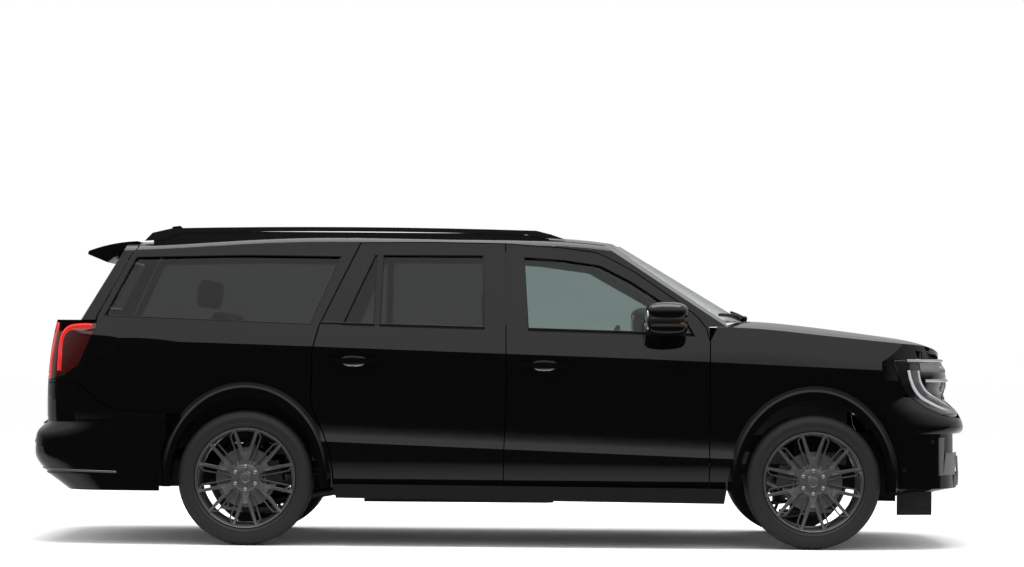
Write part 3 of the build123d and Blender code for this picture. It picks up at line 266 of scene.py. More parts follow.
def capped(points):
    """A grid of points closed into a tube with flat ends."""
    rows, columns = points.shape[:2]
    ends = [list(range(columns)), [(rows - 1) * columns + i for i in range(columns)][::-1]]
    return points, grid_faces(rows, columns, wrap_columns=True) + ends


def bar(start, end, widths, depths, hollow=0.0):
    """A spoke: a chamfered section carried from start to end, each given as radius, angle and face
    height; its face is pressed in along the middle by hollow."""
    (r0, a0, f0), (r1, a1, f1) = start, end
    t = np.linspace(0, 1, 9)[:, None]
    p = np.array([r0 * math.cos(math.radians(a0)), r0 * math.sin(math.radians(a0))])
    q = np.array([r1 * math.cos(math.radians(a1)), r1 * math.sin(math.radians(a1))])
    along = (q - p) / np.linalg.norm(q - p)
    width = (widths[0] + (widths[1] - widths[0]) * t) / 2
    depth = depths[0] + (depths[1] - depths[0]) * t
    face, zero, chamfer = f0 + (f1 - f0) * t - 0.004 * np.sin(np.pi * t), 0 * t, 0.0035
    pressed = hollow * np.sin(np.pi * np.clip(t, 0.04, 0.96))
    share = np.array([-1, -1, -1, -0.45, -0.3, 0.3, 0.45, 1, 1, 1])
    inset = chamfer * np.array([0, 0, 1, 0, 0, 0, 0, -1, 0, 0])
    edge = zero + chamfer
    drop = np.concatenate([depth, edge, zero, zero, pressed, pressed, zero, zero, edge, depth], 1)
    offset = share * width + inset
    x, z = np.hsplit(p + (q - p) * t, 2)
    return capped(np.stack([x - along[1] * offset, face - drop, z + along[0] * offset], -1))


def placed(part, x, side):
    """Turn a wheel part, given about its own middle, to one side of the car at an axle."""
    points, faces = part
    return points * (1, side, 1) + (x, side * wheel_y, tyre_radius), faces


def hex_nut(angle, y0, y1, size, circle=0.0675):
    """A lug nut: a hexagon with a turned crown."""
    turn = np.radians(np.arange(0, 360, 60))[None, :]
    radius = np.array([size, size, size * 0.86, size * 0.45, 0.0005])[:, None]
    height = np.array([y0, y1 - 0.003, y1, y1 + 0.0022, y1 + 0.003])[:, None]
    cx, cz = circle * math.cos(math.radians(angle)), circle * math.sin(math.radians(angle))
    return capped(np.stack([cx + radius * np.cos(turn), height + 0 * turn, cz + radius * np.sin(turn)], -1))


rim_section = [(0.284, -0.126), (0.296, -0.128), (0.296, -0.118), (0.282, -0.110), (0.277, -0.060),
               (0.277, 0.070), (0.283, 0.106), (0.2945, 0.110), (0.2968, 0.1155), (0.2965, 0.1240),
               (0.2945, 0.1275), (0.2922, 0.1278), (0.2905, 0.1262), (0.2892, 0.1200), (0.2880, 0.1120),
               (0.2850, 0.1000), (0.2790, 0.0860), (0.2720, 0.0700), (0.2700, 0.0500), (0.2690, -0.040),
               (0.2700, -0.110)]
hub_section = [(0.030, 0.030), (0.080, 0.030), (0.084, 0.078), (0.081, 0.0875), (0.074, 0.0905),
               (0.040, 0.0905), (0.036, 0.094), (0.030, 0.094)]
cap_section = [(0.0005, 0.080), (0.0315, 0.080), (0.0325, 0.1000), (0.0310, 0.1040), (0.0260, 0.1065),
               (0.0240, 0.1050), (0.0120, 0.1062), (0.0005, 0.1066)]
disc_section = [(0.070, 0.020), (0.176, 0.020), (0.1768, 0.0225), (0.1768, 0.0310), (0.165, 0.0325),
                (0.165, 0.0375), (0.1768, 0.0390), (0.1768, 0.0475), (0.176, 0.050), (0.104, 0.050),
                (0.101, 0.053), (0.098, 0.064), (0.070, 0.066)]
dark_alloy = finish("dark_alloy", (0.115, 0.117, 0.121), 0.3, 0.35, grain=900, contrast=0.18, coat_weight=0.6,
                    coat_roughness=0.08)
disc_iron = finish("disc_iron", (0.42, 0.41, 0.40), 0.3, 1.0, grain=40, contrast=0.18)
nut_chrome = finish("nut_chrome", (0.5, 0.5, 0.51), 0.16, 1.0, grain=200, contrast=0.1)
spokes = [revolved(rim_section, 144), revolved(hub_section, 72)]
thin = (0.0085, 0.0085)
for middle in range(30, 390, 60):
    spokes.append(bar((0.040, middle, 0.084), (0.152, middle, 0.098), (0.062, 0.030), (0.030, 0.028)))
    for tilt in (-1, 1):
        tip = middle + 13.5 * tilt
        spokes += [
            bar((0.120, middle + 6 * tilt, 0.094), (0.289, tip, 0.1165), (0.024, 0.0165), (0.032, 0.03),
                0.003),
            bar((0.082, middle + 23 * tilt, 0.084), (0.256, tip + 7.0 * tilt, 0.106), thin, (0.022, 0.022)),
            bar((0.255, tip + 7.6 * tilt, 0.1055), (0.284, tip + 1.2 * tilt, 0.1150), thin, (0.016, 0.016)),
        ]
nuts = [hex_nut(angle, 0.068, 0.106, 0.0135) for angle in range(30, 390, 60)]
for place, (x, side) in places.items():
    for name, parts, material, angle, replaced in (
        ("rim", spokes, dark_alloy, 25, (f"wheel_{place}",)),
        ("lug_nuts", nuts, nut_chrome, 20, ()),
        ("centre_cap", [revolved(cap_section, 48)], dark_alloy, 35, ()),
        ("brake_disc", [revolved(disc_section, 120)], disc_iron, 30, ()),
    ):
        on_axle = [placed(part, x, side) for part in parts]
        make_piece(f"{name}_{place}", on_axle, material, f"wheel_{place}", angle, replaced)

# ---- floor and cabin -------------------------------------------------------
# Carpeted floor, grained dashboard, a leather-bound steering wheel, and three rows of leather
# seats with sewn channels, of which the front and third rows have head restraints.
carpet = finish("carpet", (0.018, 0.018, 0.019), 0.95, grain=700, contrast=0.5, bump=1.0)
dress(carpet, "floor_pan")
dash_skin = finish("dash_skin", (0.022, 0.022, 0.024), 0.55, grain=500, contrast=0.2, bump=0.35)
dress(dash_skin, "dashboard")
leather = finish("seat_leather", (0.030, 0.029, 0.029), 0.5, grain=420, contrast=0.25, bump=0.5)
datum = -0.017


def ring(centre, major, minor, lean, count=96, sides=16):
    """A torus whose axis leans back from the X axis: the wheel rim."""
    a = np.linspace(0, 2 * np.pi, count, endpoint=False)[:, None]
    b = np.linspace(0, 2 * np.pi, sides, endpoint=False)[None, :]
    out = major + minor * np.cos(b)
    y, up, ahead = out * np.sin(a), out * np.cos(a), minor * np.sin(b) + 0 * a
    x = ahead * math.cos(lean) + up * math.sin(lean)
    z = up * math.cos(lean) - ahead * math.sin(lean)
    points = np.stack([centre[0] + x, centre[1] + y, centre[2] + z], -1)
    return points, grid_faces(count, sides, wrap_rows=True, wrap_columns=True)


def pillow(centre, size, power=4.0, crown=0.0, lean=0.0, channels=0, groove=0.0, rows=40, columns=56):
    """A superellipsoid: each direction's cosine and sine raised to 2/power, so it is boxy with
    round edges, its top face crowned and its sewn channels pressed in; lean turns it about Y."""
    u = np.linspace(-np.pi / 2, np.pi / 2, rows)[1:-1, None]
    v = np.linspace(-np.pi, np.pi, columns, endpoint=False)[None, :]

    def root(value):
        return np.sign(value) * np.abs(value) ** (2 / power)

    x = root(np.cos(u)) * root(np.cos(v))
    y = root(np.cos(u)) * root(np.sin(v))
    z = root(np.sin(u)) + 0 * v
    x = np.concatenate([[0.0], x.ravel(), [0.0]])
    y = np.concatenate([[0.0], y.ravel(), [0.0]])
    z = np.concatenate([[-1.0], z.ravel(), [1.0]])
    z = z + crown * (1 - x**2) * (1 - y**2) * (z > 0)
    if channels:
        from_seam = (np.abs((y * channels) % 1.0 - 0.5) - 0.5) / 0.09
        z = z - groove * (z > 0.5) * np.exp(-from_seam**2) * (np.abs(x) < 0.8)
    points = np.stack([x * size[0] / 2, y * size[1] / 2, z * size[2] / 2], -1)
    c, s = math.cos(lean), math.sin(lean)
    x, y, z = points.T
    turned = np.stack([x * c + z * s, y, z * c - x * s], -1)
    faces = grid_faces(rows - 2, columns, 1, wrap_columns=True)
    last = 1 + (rows - 2) * columns
    faces += [[0, 1 + (i + 1) % columns, 1 + i] for i in range(columns)]
    faces += [[last, last - columns + i, last - columns + (i + 1) % columns] for i in range(columns)]
    return turned + centre, faces


wheel_centre, lean = (0.668 + datum, 0.41, 1.15), math.radians(24)
parts = [ring(wheel_centre, 0.178, 0.0155, lean),
         pillow((wheel_centre[0] - 0.004, 0.41, 1.148), (0.15, 0.15, 0.045), 3.5, 0.15, lean - math.pi / 2),
         pillow((wheel_centre[0], 0.41, 1.15), (0.034, 0.345, 0.018), 4.5, 0.0, lean - math.pi / 2),
         pillow((wheel_centre[0] - 0.036, 0.41, 1.068), (0.150, 0.05, 0.018), 4.5, 0.0, lean - math.pi / 2)]
make_piece("steering_wheel_rim", parts, leather, "steering_wheel",
           replaces=("steering_wheel",))


def seat_parts(x, y, width, base, depth, back_x, back_base, back_height, head=True):
    """One seat: a cushion with a raised front, a leaning back and, if asked for, a head restraint."""
    lean_back = math.radians(14)
    parts = [
        pillow((x - depth / 2, y, base + 0.075), (depth, width - 0.01, 0.150), 5, 0.10, -0.05, 5, 0.10),
        pillow((back_x - 0.056, y, back_base + back_height / 2), (back_height - 0.01, width - 0.02, 0.135),
               5, 0.10, lean_back - math.pi / 2, 5, 0.10),
    ]
    if head:
        top = back_base + back_height
        parts.append(pillow((back_x - 0.116, y, top + 0.105), (0.17, 0.25, 0.085), 3.5, 0.1,
                            lean_back * 0.6 - math.pi / 2))
    return parts


seat_base = 0.682
rows = {
    "front_seats": [(0.560, s * 0.41, 0.54, seat_base, 0.50, 0.044, 0.722, 0.64) for s in (-1, 1)],
    "second_row_seats": [(-0.420, s * 0.41, 0.54, seat_base, 0.48, -0.916, 0.722, 0.62) for s in (-1, 1)],
    "third_row_seat": [(-1.230, s * 0.31, 0.61, 0.836, 0.44, -1.682, 0.866, 0.52) for s in (-1, 1)],
}
for node, seats in rows.items():
    parts = []
    for x, y, width, base, depth, back_x, back_base, back_height in seats:
        parts += seat_parts(x + datum, y, width, base, depth, back_x + datum, back_base, back_height,
                            node != "second_row_seats")
        foot = 0.16 if node != "third_row_seat" else 0.10
        for side in (-0.18, 0.18):
            parts.append(pillow((x + datum - depth / 2, y + side, base - foot / 2 - 0.01),
                                (depth * 0.85, 0.04, foot), 8))
    covers = make_piece(f"{node}_covers", parts, leather, "chassis", replaces=(node,))

# ---- painted body ----------------------------------------------------------
# Stamped steel and aluminium panels in gloss black: a deep base coat with a trace of flake under
# clear lacquer. Bumpers and mirror caps are moulded and painted to match.
gloss_black = finish("gloss_black", (0.0025, 0.0025, 0.0028), 0.30, grain=1500, contrast=0.35, coat_weight=1.0,
                     coat_roughness=0.025, specular_ior_level=0.02)
doors_and_sides = ("front_door_l", "front_door_r", "rear_door_l", "rear_door_r", "body_side", "fender",
                   "mirror")
painted = [name for name in nodes if name.startswith(doors_and_sides) and "glass" not in name]
dress(gloss_black, *painted, "hood", "roof_panel", "liftgate", "tailgate", "front_bumper", "rear_bumper")
satin_black = finish("satin_black", (0.006, 0.006, 0.0065), 0.38, grain=350, contrast=0.25, bump=0.2,
                     specular_ior_level=0.25)
dress(satin_black, "roof_rails", "lower_grille")
grained_black = finish("grained_black", (0.007, 0.007, 0.0075), 0.55, grain=600, contrast=0.25, bump=0.5,
                       specular_ior_level=0.25)
dress(grained_black, "cowl", "running_boards")

# ---- glass -----------------------------------------------------------------
# A laminated windshield with a faint tint, green-grey glass in the front doors, and privacy glass
# from the rear doors back.


def tinted(name, colour):
    """Glass that filters what passes through each pane by a colour, with a plain gloss."""
    material = bpy.data.materials.new(name)
    material.use_nodes = True
    tree = material.node_tree
    shader = tree.nodes["Principled BSDF"]
    place = add_node(tree, "ShaderNodeTexCoord").outputs["Object"]
    noise = add_node(tree, "ShaderNodeTexNoise", {"Vector": place, "Scale": 1.5, "Detail": 2.0})
    low = tuple(c * 0.96 for c in colour) + (1,)
    high = tuple(min(1, c * 1.04) for c in colour) + (1,)
    tint = add_node(tree, "ShaderNodeMix", {0: noise.outputs[0], 6: low, 7: high}, data_type="RGBA")
    tree.links.new(tint.outputs[2], shader.inputs["Base Color"])
    shader.inputs["Transmission Weight"].default_value = 1.0
    shader.inputs["Roughness"].default_value = 0.0
    shader.inputs["IOR"].default_value = 1.45
    return material


front_tint = tinted("front_tint", (0.37, 0.435, 0.42))
privacy_tint = tinted("privacy_tint", (0.135, 0.14, 0.139))
windshield_tint = tinted("windshield_tint", (0.82, 0.88, 0.86))
dress(front_tint, "front_door_glass_left", "front_door_glass_right")
dress(privacy_tint, "rear_door_glass_left", "rear_door_glass_right", "quarter_glass", "liftgate_glass")
dress(windshield_tint, "windshield")

# ---- lamp housings and grille ----------------------------------------------
# Gloss black headlamp housings, smoked red tail-lamp lenses and a satin black grille frame. The
# light blades, lenses and meshes that go on them come with the nose and the tail.
lamp_black = finish("lamp_black", (0.006, 0.006, 0.007), 0.12, grain=200, contrast=0.3, coat_weight=1.0,
                    coat_roughness=0.02)
dress(lamp_black, "headlamps")
lamp_red = finish("lamp_red_smoked", (0.05, 0.002, 0.002), 0.1, grain=200, contrast=0.3, coat_weight=1.0,
                  coat_roughness=0.02)
dress(lamp_red, "tail_lamps")
grille_black = finish("grille_black", (0.010, 0.010, 0.011), 0.25, grain=300, contrast=0.3)
dress(grille_black, "grille")

# ---- nose: lamps, grille and bumper trim -----------------------------------
# Headlamps with a curved light blade, a second inner blade and five projectors a side; bright
# cross bars over a honeycomb mesh; bumper guards and skid-plate edges in satin silver.
nose_points = np.array([(2818, 0), (2808, 300), (2784, 550), (2746, 700), (2678, 820), (2568, 898),
                        (2398, 940), (2248, 953)], float)
nose_follow = np.array([1, 1, 1, 1, 0.95, 0.9, 0.5, 0.0])
upper_levels = np.array([(684, 14), (700, 0), (752, 2), (781, 34), (855, 84), (908, 118), (988, 104),
                         (1060, 112), (1128, 138), (1200, 160)], float)
bumper_levels = np.array([(300, 210), (361, 34), (686, 40)], float)


def smooth_curve(points, t):
    """Catmull-Rom curve through points: each span blends its ends' positions and slopes."""
    points = np.asarray(points, float)
    ends = np.concatenate([[2 * points[0] - points[1]], points, [2 * points[-1] - points[-2]]])
    i = np.clip(np.floor(t).astype(int), 0, len(points) - 2)
    f = (t - i)[:, None]
    a, b, c, d = ends[i], ends[i + 1], ends[i + 2], ends[i + 3]
    return 0.5 * (2 * b + (c - a) * f + (2 * a - 5 * b + 4 * c - d) * f**2 + (3 * b - 3 * c + d - a) * f**3)


def end_skin(outline, follow, start, sign):
    """The skin of the nose (sign 1) or tail (sign -1), as a function of height and either Y or, on
    the right side, X. The plan at a height is the bowed outline moved inboard by that height's
    setback, times how far each point follows it; proud lifts off the skin along its normal."""
    last = 2 * (len(outline) - 1)
    t, right = np.linspace(0, last, 200 * last + 1), 100 * last + 1
    flat_x, flat_y = smooth_curve(np.concatenate([outline[:0:-1] * (1, -1), outline]), t).T
    flat_x = flat_x + start
    shift = sign * smooth_curve(np.stack([np.concatenate([follow[:0:-1], follow])] * 2, 1), t)[:, 0]

    def skin(z, levels, y=None, x=None, proud=0.0):
        z = np.asarray(z, float)
        setback = np.interp(z, levels[:, 0], levels[:, 1])
        if y is not None:
            miss = flat_y[None, :] - np.asarray(y, float).ravel()[:, None]
        else:
            plan = flat_x[None, :right] - shift[None, :right] * setback.ravel()[:, None]
            miss = plan - np.asarray(x, float).ravel()[:, None]
        at = np.clip(np.argmin(np.abs(miss), 1).reshape(z.shape), 1, len(flat_y) - 2)
        slope_x = flat_x[at + 1] - flat_x[at - 1] - (shift[at + 1] - shift[at - 1]) * setback
        slope_y = flat_y[at + 1] - flat_y[at - 1]
        lift = sign * np.asarray(proud, float) / np.hypot(slope_x, slope_y)
        over_x, over_y = flat_x[at] - shift[at] * setback + lift * slope_y, flat_y[at] - lift * slope_x
        return np.stack([over_x, over_y, z], -1) / 1000 + (datum, 0, 0)

    return skin


nose_skin = end_skin(nose_points, nose_follow, 0, 1)


def resample(points, count):
    """Evenly spaced points along a smooth curve through points."""
    points = np.asarray(points, float)
    dense = smooth_curve(points, np.linspace(0, len(points) - 1, 400))
    run = np.concatenate([[0], np.cumsum(np.linalg.norm(np.diff(dense, axis=0), axis=1))])
    at = np.linspace(0, run[-1], count)
    return np.stack([np.interp(at, run, dense[:, i]) for i in range(dense.shape[1])], 1)


def slab(outer, inner):
    """A closed sheet between two grids of points of one size."""
    rows, columns = outer.shape[:2]
    points = np.concatenate([outer.reshape(-1, 3), inner.reshape(-1, 3)])
    n = rows * columns
    faces = grid_faces(rows, columns)
    faces += [[i + n for i in face[::-1]] for face in grid_faces(rows, columns)]
    index = np.arange(n).reshape(rows, columns)
    edge = np.concatenate([index[0, :], index[1:, -1], index[-1, -2::-1], index[-2:0:-1, 0]])
    following = np.roll(edge, -1)
    faces += np.stack([edge, edge + n, following + n, following], 1).tolist()
    return points, faces


def carried(path, across, up, profile):
    """A closed profile of (across, up) carried along a path, with flat ends."""
    profile = np.asarray(profile, float)
    sideways, upward = profile[None, :, 0:1], profile[None, :, 1:2]
    return capped(path[:, None, :] + across[:, None, :] * sideways + up[:, None, :] * upward)


def unit(vectors):
    """Vectors of length one."""
    return vectors / np.linalg.norm(vectors, axis=-1, keepdims=True)


def strip(on, off, width, height, crown=0.0):
    """A raised strip along a path on a surface; off is the same path lifted from the surface. Its
    section is a low trapezium with rounded shoulders."""
    along = unit(np.gradient(on, axis=0))
    up = unit(off - on)
    across = unit(np.cross(along, up))
    w, h = width / 2, height
    profile = [(-w, -0.004), (-w, h * 0.55), (-w * 0.8, h * 0.92), (-w * 0.4, h + crown * 0.7), (0, h + crown),
               (w * 0.4, h + crown * 0.7), (w * 0.8, h * 0.92), (w, h * 0.55), (w, -0.004)]
    return carried(on, across, up, profile)


def both_hands(parts):
    """The parts and their mirror images on the other side of the car."""
    flipped = [(np.asarray(p, float).reshape(-1, 3) * (1, -1, 1), [face[::-1] for face in f]) for p, f in parts]
    return list(parts) + flipped


def skin_strip(skin, line, levels, width, height, crown=0.0, key="x", proud=0.0):
    """A strip on a skin through (X, Z) pairs, or (Y, Z) pairs where key is y."""
    on, off = (skin(line[:, 1], levels, **{key: line[:, 0]}, proud=proud + lift) for lift in (0.0, 20.0))
    return strip(on, off, width, height, crown)


def skin_band(skin, z, levels, reach, width, height, count=140, proud=0.0, crown=0.0):
    """A strip across the nose or tail at one height, between two equal reaches of Y."""
    line = np.stack([np.linspace(-reach, reach, count), np.full(count, float(z))], 1)
    return skin_strip(skin, line, levels, width, height, crown, "y", proud)


def nose_strip(outline, levels, width, height, count=60, crown=0.0):
    """A smooth strip through side-view points (X, Z) of the right side of the nose."""
    return skin_strip(nose_skin, resample(outline, count), levels, width, height, crown)


def between(corners, rows, columns):
    """A grid spread evenly between four corners in order."""
    corners = np.asarray(corners, float)
    u, v = np.linspace(0, 1, rows)[:, None, None], np.linspace(0, 1, columns)[None, :, None]
    return (corners[0] * (1 - u) + corners[3] * u) * (1 - v) + (corners[1] * (1 - u) + corners[2] * u) * v


def nose_patch(corners, levels, proud, thickness):
    """A thin plate on the right side of the nose; corners are (X, Z) pairs in order."""
    flat = between(corners, 10, 24)
    x, z = np.moveaxis(flat, -1, 0)
    return slab(*(nose_skin(z, levels, x=x, proud=lift) for lift in (proud, proud - thickness)))


def button(skin, place, z, levels, radii, lifts, key, sides=28):
    """A round boss on a skin, of rings with a radius and a lift each."""
    turn = np.linspace(0, 2 * np.pi, sides, endpoint=False)[None, :]
    radius, lift = np.asarray(radii)[:, None], np.asarray(lifts, float)[:, None] + 0 * turn
    return capped(skin(z + radius * np.sin(turn), levels, **{key: place + radius * np.cos(turn)}, proud=lift))


def honeycomb(levels, reach, low, high, pitch, proud):
    """Hexagonal rings side by side on the nose's curve, each a short hollow prism."""
    turn = np.radians(np.arange(30, 390, 60))
    step_z, outside = pitch * math.sqrt(3) / 2, pitch / math.sqrt(3) + 0.3
    inside, depth = outside - 2.5, 14.0
    parts = []
    for row in range(int((high - low - pitch) // step_z) + 1):
        z0 = low + pitch / 2 + row * step_z
        shift = pitch / 2 * (row % 2)
        for y0 in np.arange(-reach + pitch / 2 + shift, reach - pitch / 2, pitch):
            grids = [nose_skin(z0 + r * np.sin(turn), levels, y=y0 + r * np.cos(turn), proud=proud + lift)
                     for r, lift in ((outside, 0), (inside, 0), (inside, -depth), (outside, -depth))]
            parts.append((np.stack(grids), grid_faces(4, 6, wrap_rows=True, wrap_columns=True)))
    return parts


bright_trim = finish("bright_trim", (0.62, 0.63, 0.65), 0.16, 1.0, grain=150, contrast=0.06)
satin_silver = finish("satin_silver", (0.24, 0.245, 0.25), 0.34, 0.85, grain=600, contrast=0.12)
blade_white = finish("light_blade", (0.72, 0.74, 0.78), 0.12, grain=30, contrast=0.06, coat_weight=1.0,
                     coat_roughness=0.03)
lens_grey = finish("lamp_reflector", (0.30, 0.29, 0.30), 0.18, 0.7, grain=60, contrast=0.25)

blade_line = [(2410, 1062), (2422, 1010), (2448, 952), (2490, 902), (2560, 862), (2634, 828), (2704, 799)]
inner_line = [(2468, 1060), (2478, 1004), (2504, 956), (2540, 922), (2604, 884), (2668, 850), (2722, 822)]
middle_line = [(2440, 1060), (2450, 1006), (2476, 954), (2514, 912), (2582, 872), (2650, 838), (2712, 810)]
blades = [nose_strip(blade_line, upper_levels, 0.017, 0.010, 90, 0.002),
          nose_strip(inner_line, upper_levels, 0.010, 0.012, 90, 0.002)]
make_piece("headlamp_blades", both_hands(blades), blade_white, "chassis")
blade_lens = nose_strip(middle_line, upper_levels, 0.040, 0.007, 90)
make_piece("headlamp_blade_lens", both_hands([blade_lens]), lens_grey, "chassis")
side_panel = nose_patch([(2334, 1106), (2416, 1108), (2424, 974), (2374, 972)], upper_levels, 3.0, 6.0)
top_panel = nose_patch([(2478, 1106), (2640, 1110), (2640, 1020), (2492, 1016)], upper_levels, 2.0, 5.0)
make_piece("headlamp_side_panels", both_hands([side_panel]), satin_black, "chassis")
make_piece("headlamp_reflectors", both_hands([top_panel]), lens_grey, "chassis")
bars = [skin_band(nose_skin, 1118, upper_levels, 920, 0.017, 0.012, 300, 0.0, 0.002)]
dash = [(2508, 1000), (2600, 1000), (2690, 999)]
bars += both_hands([nose_strip(dash, upper_levels, 0.018, 0.014, crown=0.002)])
for z in (964, 1001, 1039, 1077):
    bars.append(skin_band(nose_skin, z - 8.5, upper_levels, 526, 0.0055, 0.0035, 160, -1.0))
make_piece("bright_bars", bars, bright_trim, "chassis")
projectors = []
for y, z, share in ((-690, 1062, 1), (-690, 962, 1), (-610, 1062, 1), (-610, 962, 1), (-640, 905, 0.6)):
    projectors.append(button(nose_skin, y, z, upper_levels, share * np.array([30, 27, 25, 18, 9, 0.5]),
                             (-4, 5, 3, 7, 9.5, 10), "y", 40))
make_piece("headlamp_projectors", both_hands(projectors), lens_grey, "chassis")
make_piece("grille_mesh", honeycomb(upper_levels, 540, 912, 1108, 30, -22), grille_black, "chassis",
           angle=20)
opening_levels = np.array([(300, 60), (364, 60), (683, 110)], float)
make_piece("lower_mesh", honeycomb(opening_levels, 690, 446, 676, 34, 7), grille_black, "chassis",
           angle=20)

fang = nose_patch([(2596, 664), (2632, 664), (2624, 440), (2600, 440)], bumper_levels, 9.0, 14.0)
vent = nose_patch([(2646, 572), (2738, 572), (2716, 442), (2628, 442)], bumper_levels, 5.0, 10.0)
make_piece("bumper_guards", both_hands([fang, vent]), satin_silver, "chassis")
skid = [skin_band(nose_skin, 440, bumper_levels, 560, 0.014, 0.010, 120, 4.0)]
legs = []
for y0, z0, y1, z1 in ((-640, 548, -560, 440), (-560, 440, -430, 372)):
    leg = resample([(y0, z0), ((y0 + y1) / 2, (z0 + z1) / 2), (y1, z1)], 24)
    legs.append(skin_strip(nose_skin, leg, bumper_levels, 0.014, 0.010, 0.0, "y", 4.0))
make_piece("skid_plate_edges", skid + both_hands(legs), satin_silver, "chassis")
dam_front, dam_faces = 2.333, []
for outer_y, ridge in ((-0.905, 1), (-0.893, 0)):
    x = np.linspace(dam_front, 2.544, 16)[None, :]
    z = np.array([0.345, 0.312, 0.262, 0.258, 0.254, 0.212, 0.206])[:, None]
    push = np.array([0, 0.004, 0.003, 0, 0.003, 0.002, -0.002])[:, None]
    lean_in = 0.55 * (x - dam_front) ** 1.6
    dam_faces.append(np.stack([x + 0 * z, outer_y + lean_in - push * ridge, z + 0 * x], -1))
make_piece("air_dam", both_hands([slab(*dam_faces)]), grained_black, "chassis")
sensor_radii = (12.5, 12, 9.5, 9, 0.5)
sensors = [button(nose_skin, x, z, bumper_levels, sensor_radii, (-3, 2.2, 2.4, 1.2, 1.6), "x")
           for x, z in ((2390, 470), (2560, 640))]
make_piece("front_sensors", both_hands(sensors), satin_black, "chassis")

# ---- tail: lamps, gates and bumper trim ------------------------------------
# Wrapped tail lamps with two bright red light blades a side, a blank plate on its panel, a dark
# cross trim, reflectors, a grey valance edge, a ribbed step and the wiper of the rear window.
tail_points = np.array([(0, 0), (5, 400), (18, 680), (56, 830), (150, 905), (310, 945), (520, 966)], float)
tail_follow = np.array([1, 1, 1, 1, 0.9, 0.6, 0.2])
gate_levels = np.array([(700, 72), (900, 70), (1100, 84), (1322, 124)], float)
rear_levels = np.array([(318, 200), (412, 70), (470, 26), (560, 0), (610, 2), (655, 12), (700, 54),
                        (738, 74)], float)
tail_skin = end_skin(tail_points, tail_follow, -2788, -1)
blade_red = finish("blade_red", (0.62, 0.012, 0.010), 0.15, grain=30, contrast=0.1, coat_weight=1.0,
                   coat_roughness=0.03, emission_color=(1.0, 0.02, 0.02, 1), emission_strength=0.35)
outer_blade = resample([(-800, 1300), (-812, 1270), (-815, 1200), (-815, 1100), (-815, 1010),
                        (-805, 975)], 80)
inner_blade = resample([(-2404, 1284), (-2470, 1284), (-2540, 1272), (-2580, 1232), (-2596, 1170),
                        (-2600, 1090), (-2604, 1020)], 90)
blades = [skin_strip(tail_skin, outer_blade, gate_levels, 0.036, 0.005, 0.002, "y"),
          skin_strip(tail_skin, inner_blade, gate_levels, 0.030, 0.005, 0.002)]
make_piece("tail_lamp_blades", both_hands(blades), blade_red, "chassis")


def tail_patch(reach, low, high, proud, thickness, columns, rows, round_corner=0.0):
    """A plate across the gates between two heights; its ends draw in by round_corner at the corners."""
    v = np.linspace(0, 1, rows)[:, None]
    u = np.linspace(-1, 1, columns)[None, :]
    z = low + (high - low) * v + 0 * u
    y = u * (reach - round_corner * (2 * np.abs(v - 0.5)) ** 3)
    outer, inner = (tail_skin(z, gate_levels, y=y, proud=p) for p in (proud, proud - thickness))
    return slab(outer, inner)


make_piece("liftgate_cross_trim", [tail_patch(766, 1196, 1262, 4.0, 8.0, 120, 8)], lamp_black, "liftgate")
trim_line = skin_band(tail_skin, 1196, gate_levels, 764, 0.006, 0.006, 160)
make_piece("liftgate_trim_line", [trim_line], bright_trim, "liftgate")
make_piece("plate_panel", [tail_patch(285, 800, 968, 1.6, 5.0, 40, 14, 14.0)], satin_black, "tailgate")
plate_white = finish("blank_plate", (0.55, 0.56, 0.56), 0.45, grain=40, contrast=0.05)
make_piece("blank_plate", [tail_patch(152, 812, 956, 4.4, 2.2, 30, 10, 5.0)], plate_white, "tailgate")
make_piece("gate_handle_trim", [skin_band(tail_skin, 1014, gate_levels, 330, 0.020, 0.005, 60, 0.0, 0.001)],
           satin_black, "liftgate")
reflector = finish("reflector_red", (0.30, 0.006, 0.006), 0.2, grain=800, contrast=0.4, bump=0.4,
                   coat_weight=1.0)
bars = []
for side in (-1, 1):
    line = np.stack([np.linspace(560, 760, 40) * side, np.full(40, 600.0)], 1)
    bars.append(skin_strip(tail_skin, line, rear_levels, 0.026, 0.004, 0.0015, "y"))
make_piece("rear_reflectors", bars, reflector, "chassis")
valance_line = resample([(-2764, 462), (-2740, 448), (-2660, 440), (-2500, 432), (-2250, 426),
                         (-1985, 420)], 120)
valance = both_hands([skin_strip(tail_skin, valance_line, rear_levels, 0.012, 0.003)])
valance.append(skin_band(tail_skin, 462, rear_levels, 700, 0.012, 0.003))
make_piece("rear_valance_edge", valance, satin_silver, "chassis")
step_ribs = []
for y in np.arange(-0.48, 0.481, 0.024):
    on = np.stack([np.linspace(-2.772, -2.720, 12), np.full(12, y), np.linspace(0.7005, 0.7385, 12)], 1)
    step_ribs.append(strip(on, on + (-0.012, 0, 0.016), 0.010, 0.0025))
make_piece("bumper_step_ribs", step_ribs, grained_black, "chassis")
sensors = [button(tail_skin, y, 520, rear_levels, sensor_radii, (-3, 2.0, 2.2, 1.2, 1.6), "y")
           for y in (-720, -330, 330, 720)]
make_piece("rear_sensors", sensors, satin_black, "chassis")


def glass_skin(middle, bow, low, slope, out):
    """Points over the windshield or the rear window: x = middle + bow (y / 850)^2 + slope (z - low),
    lifted along out."""

    def point(y, z, lift=0.0):
        y, z = np.asarray(y, float), np.asarray(z, float)
        x = middle + bow * (y / 850) ** 2 + slope * (z - low)
        return (np.stack([x, y, z], -1) + np.array(out) * lift) / 1000 + (datum, 0, 0)

    return point


def wiper_strip(point, line, lift, width, height):
    """A wiper's arm or blade along (Y, Z) pairs on the glass."""
    return strip(point(*line.T, lift), point(*line.T, lift + 20), width, height, 0.003)


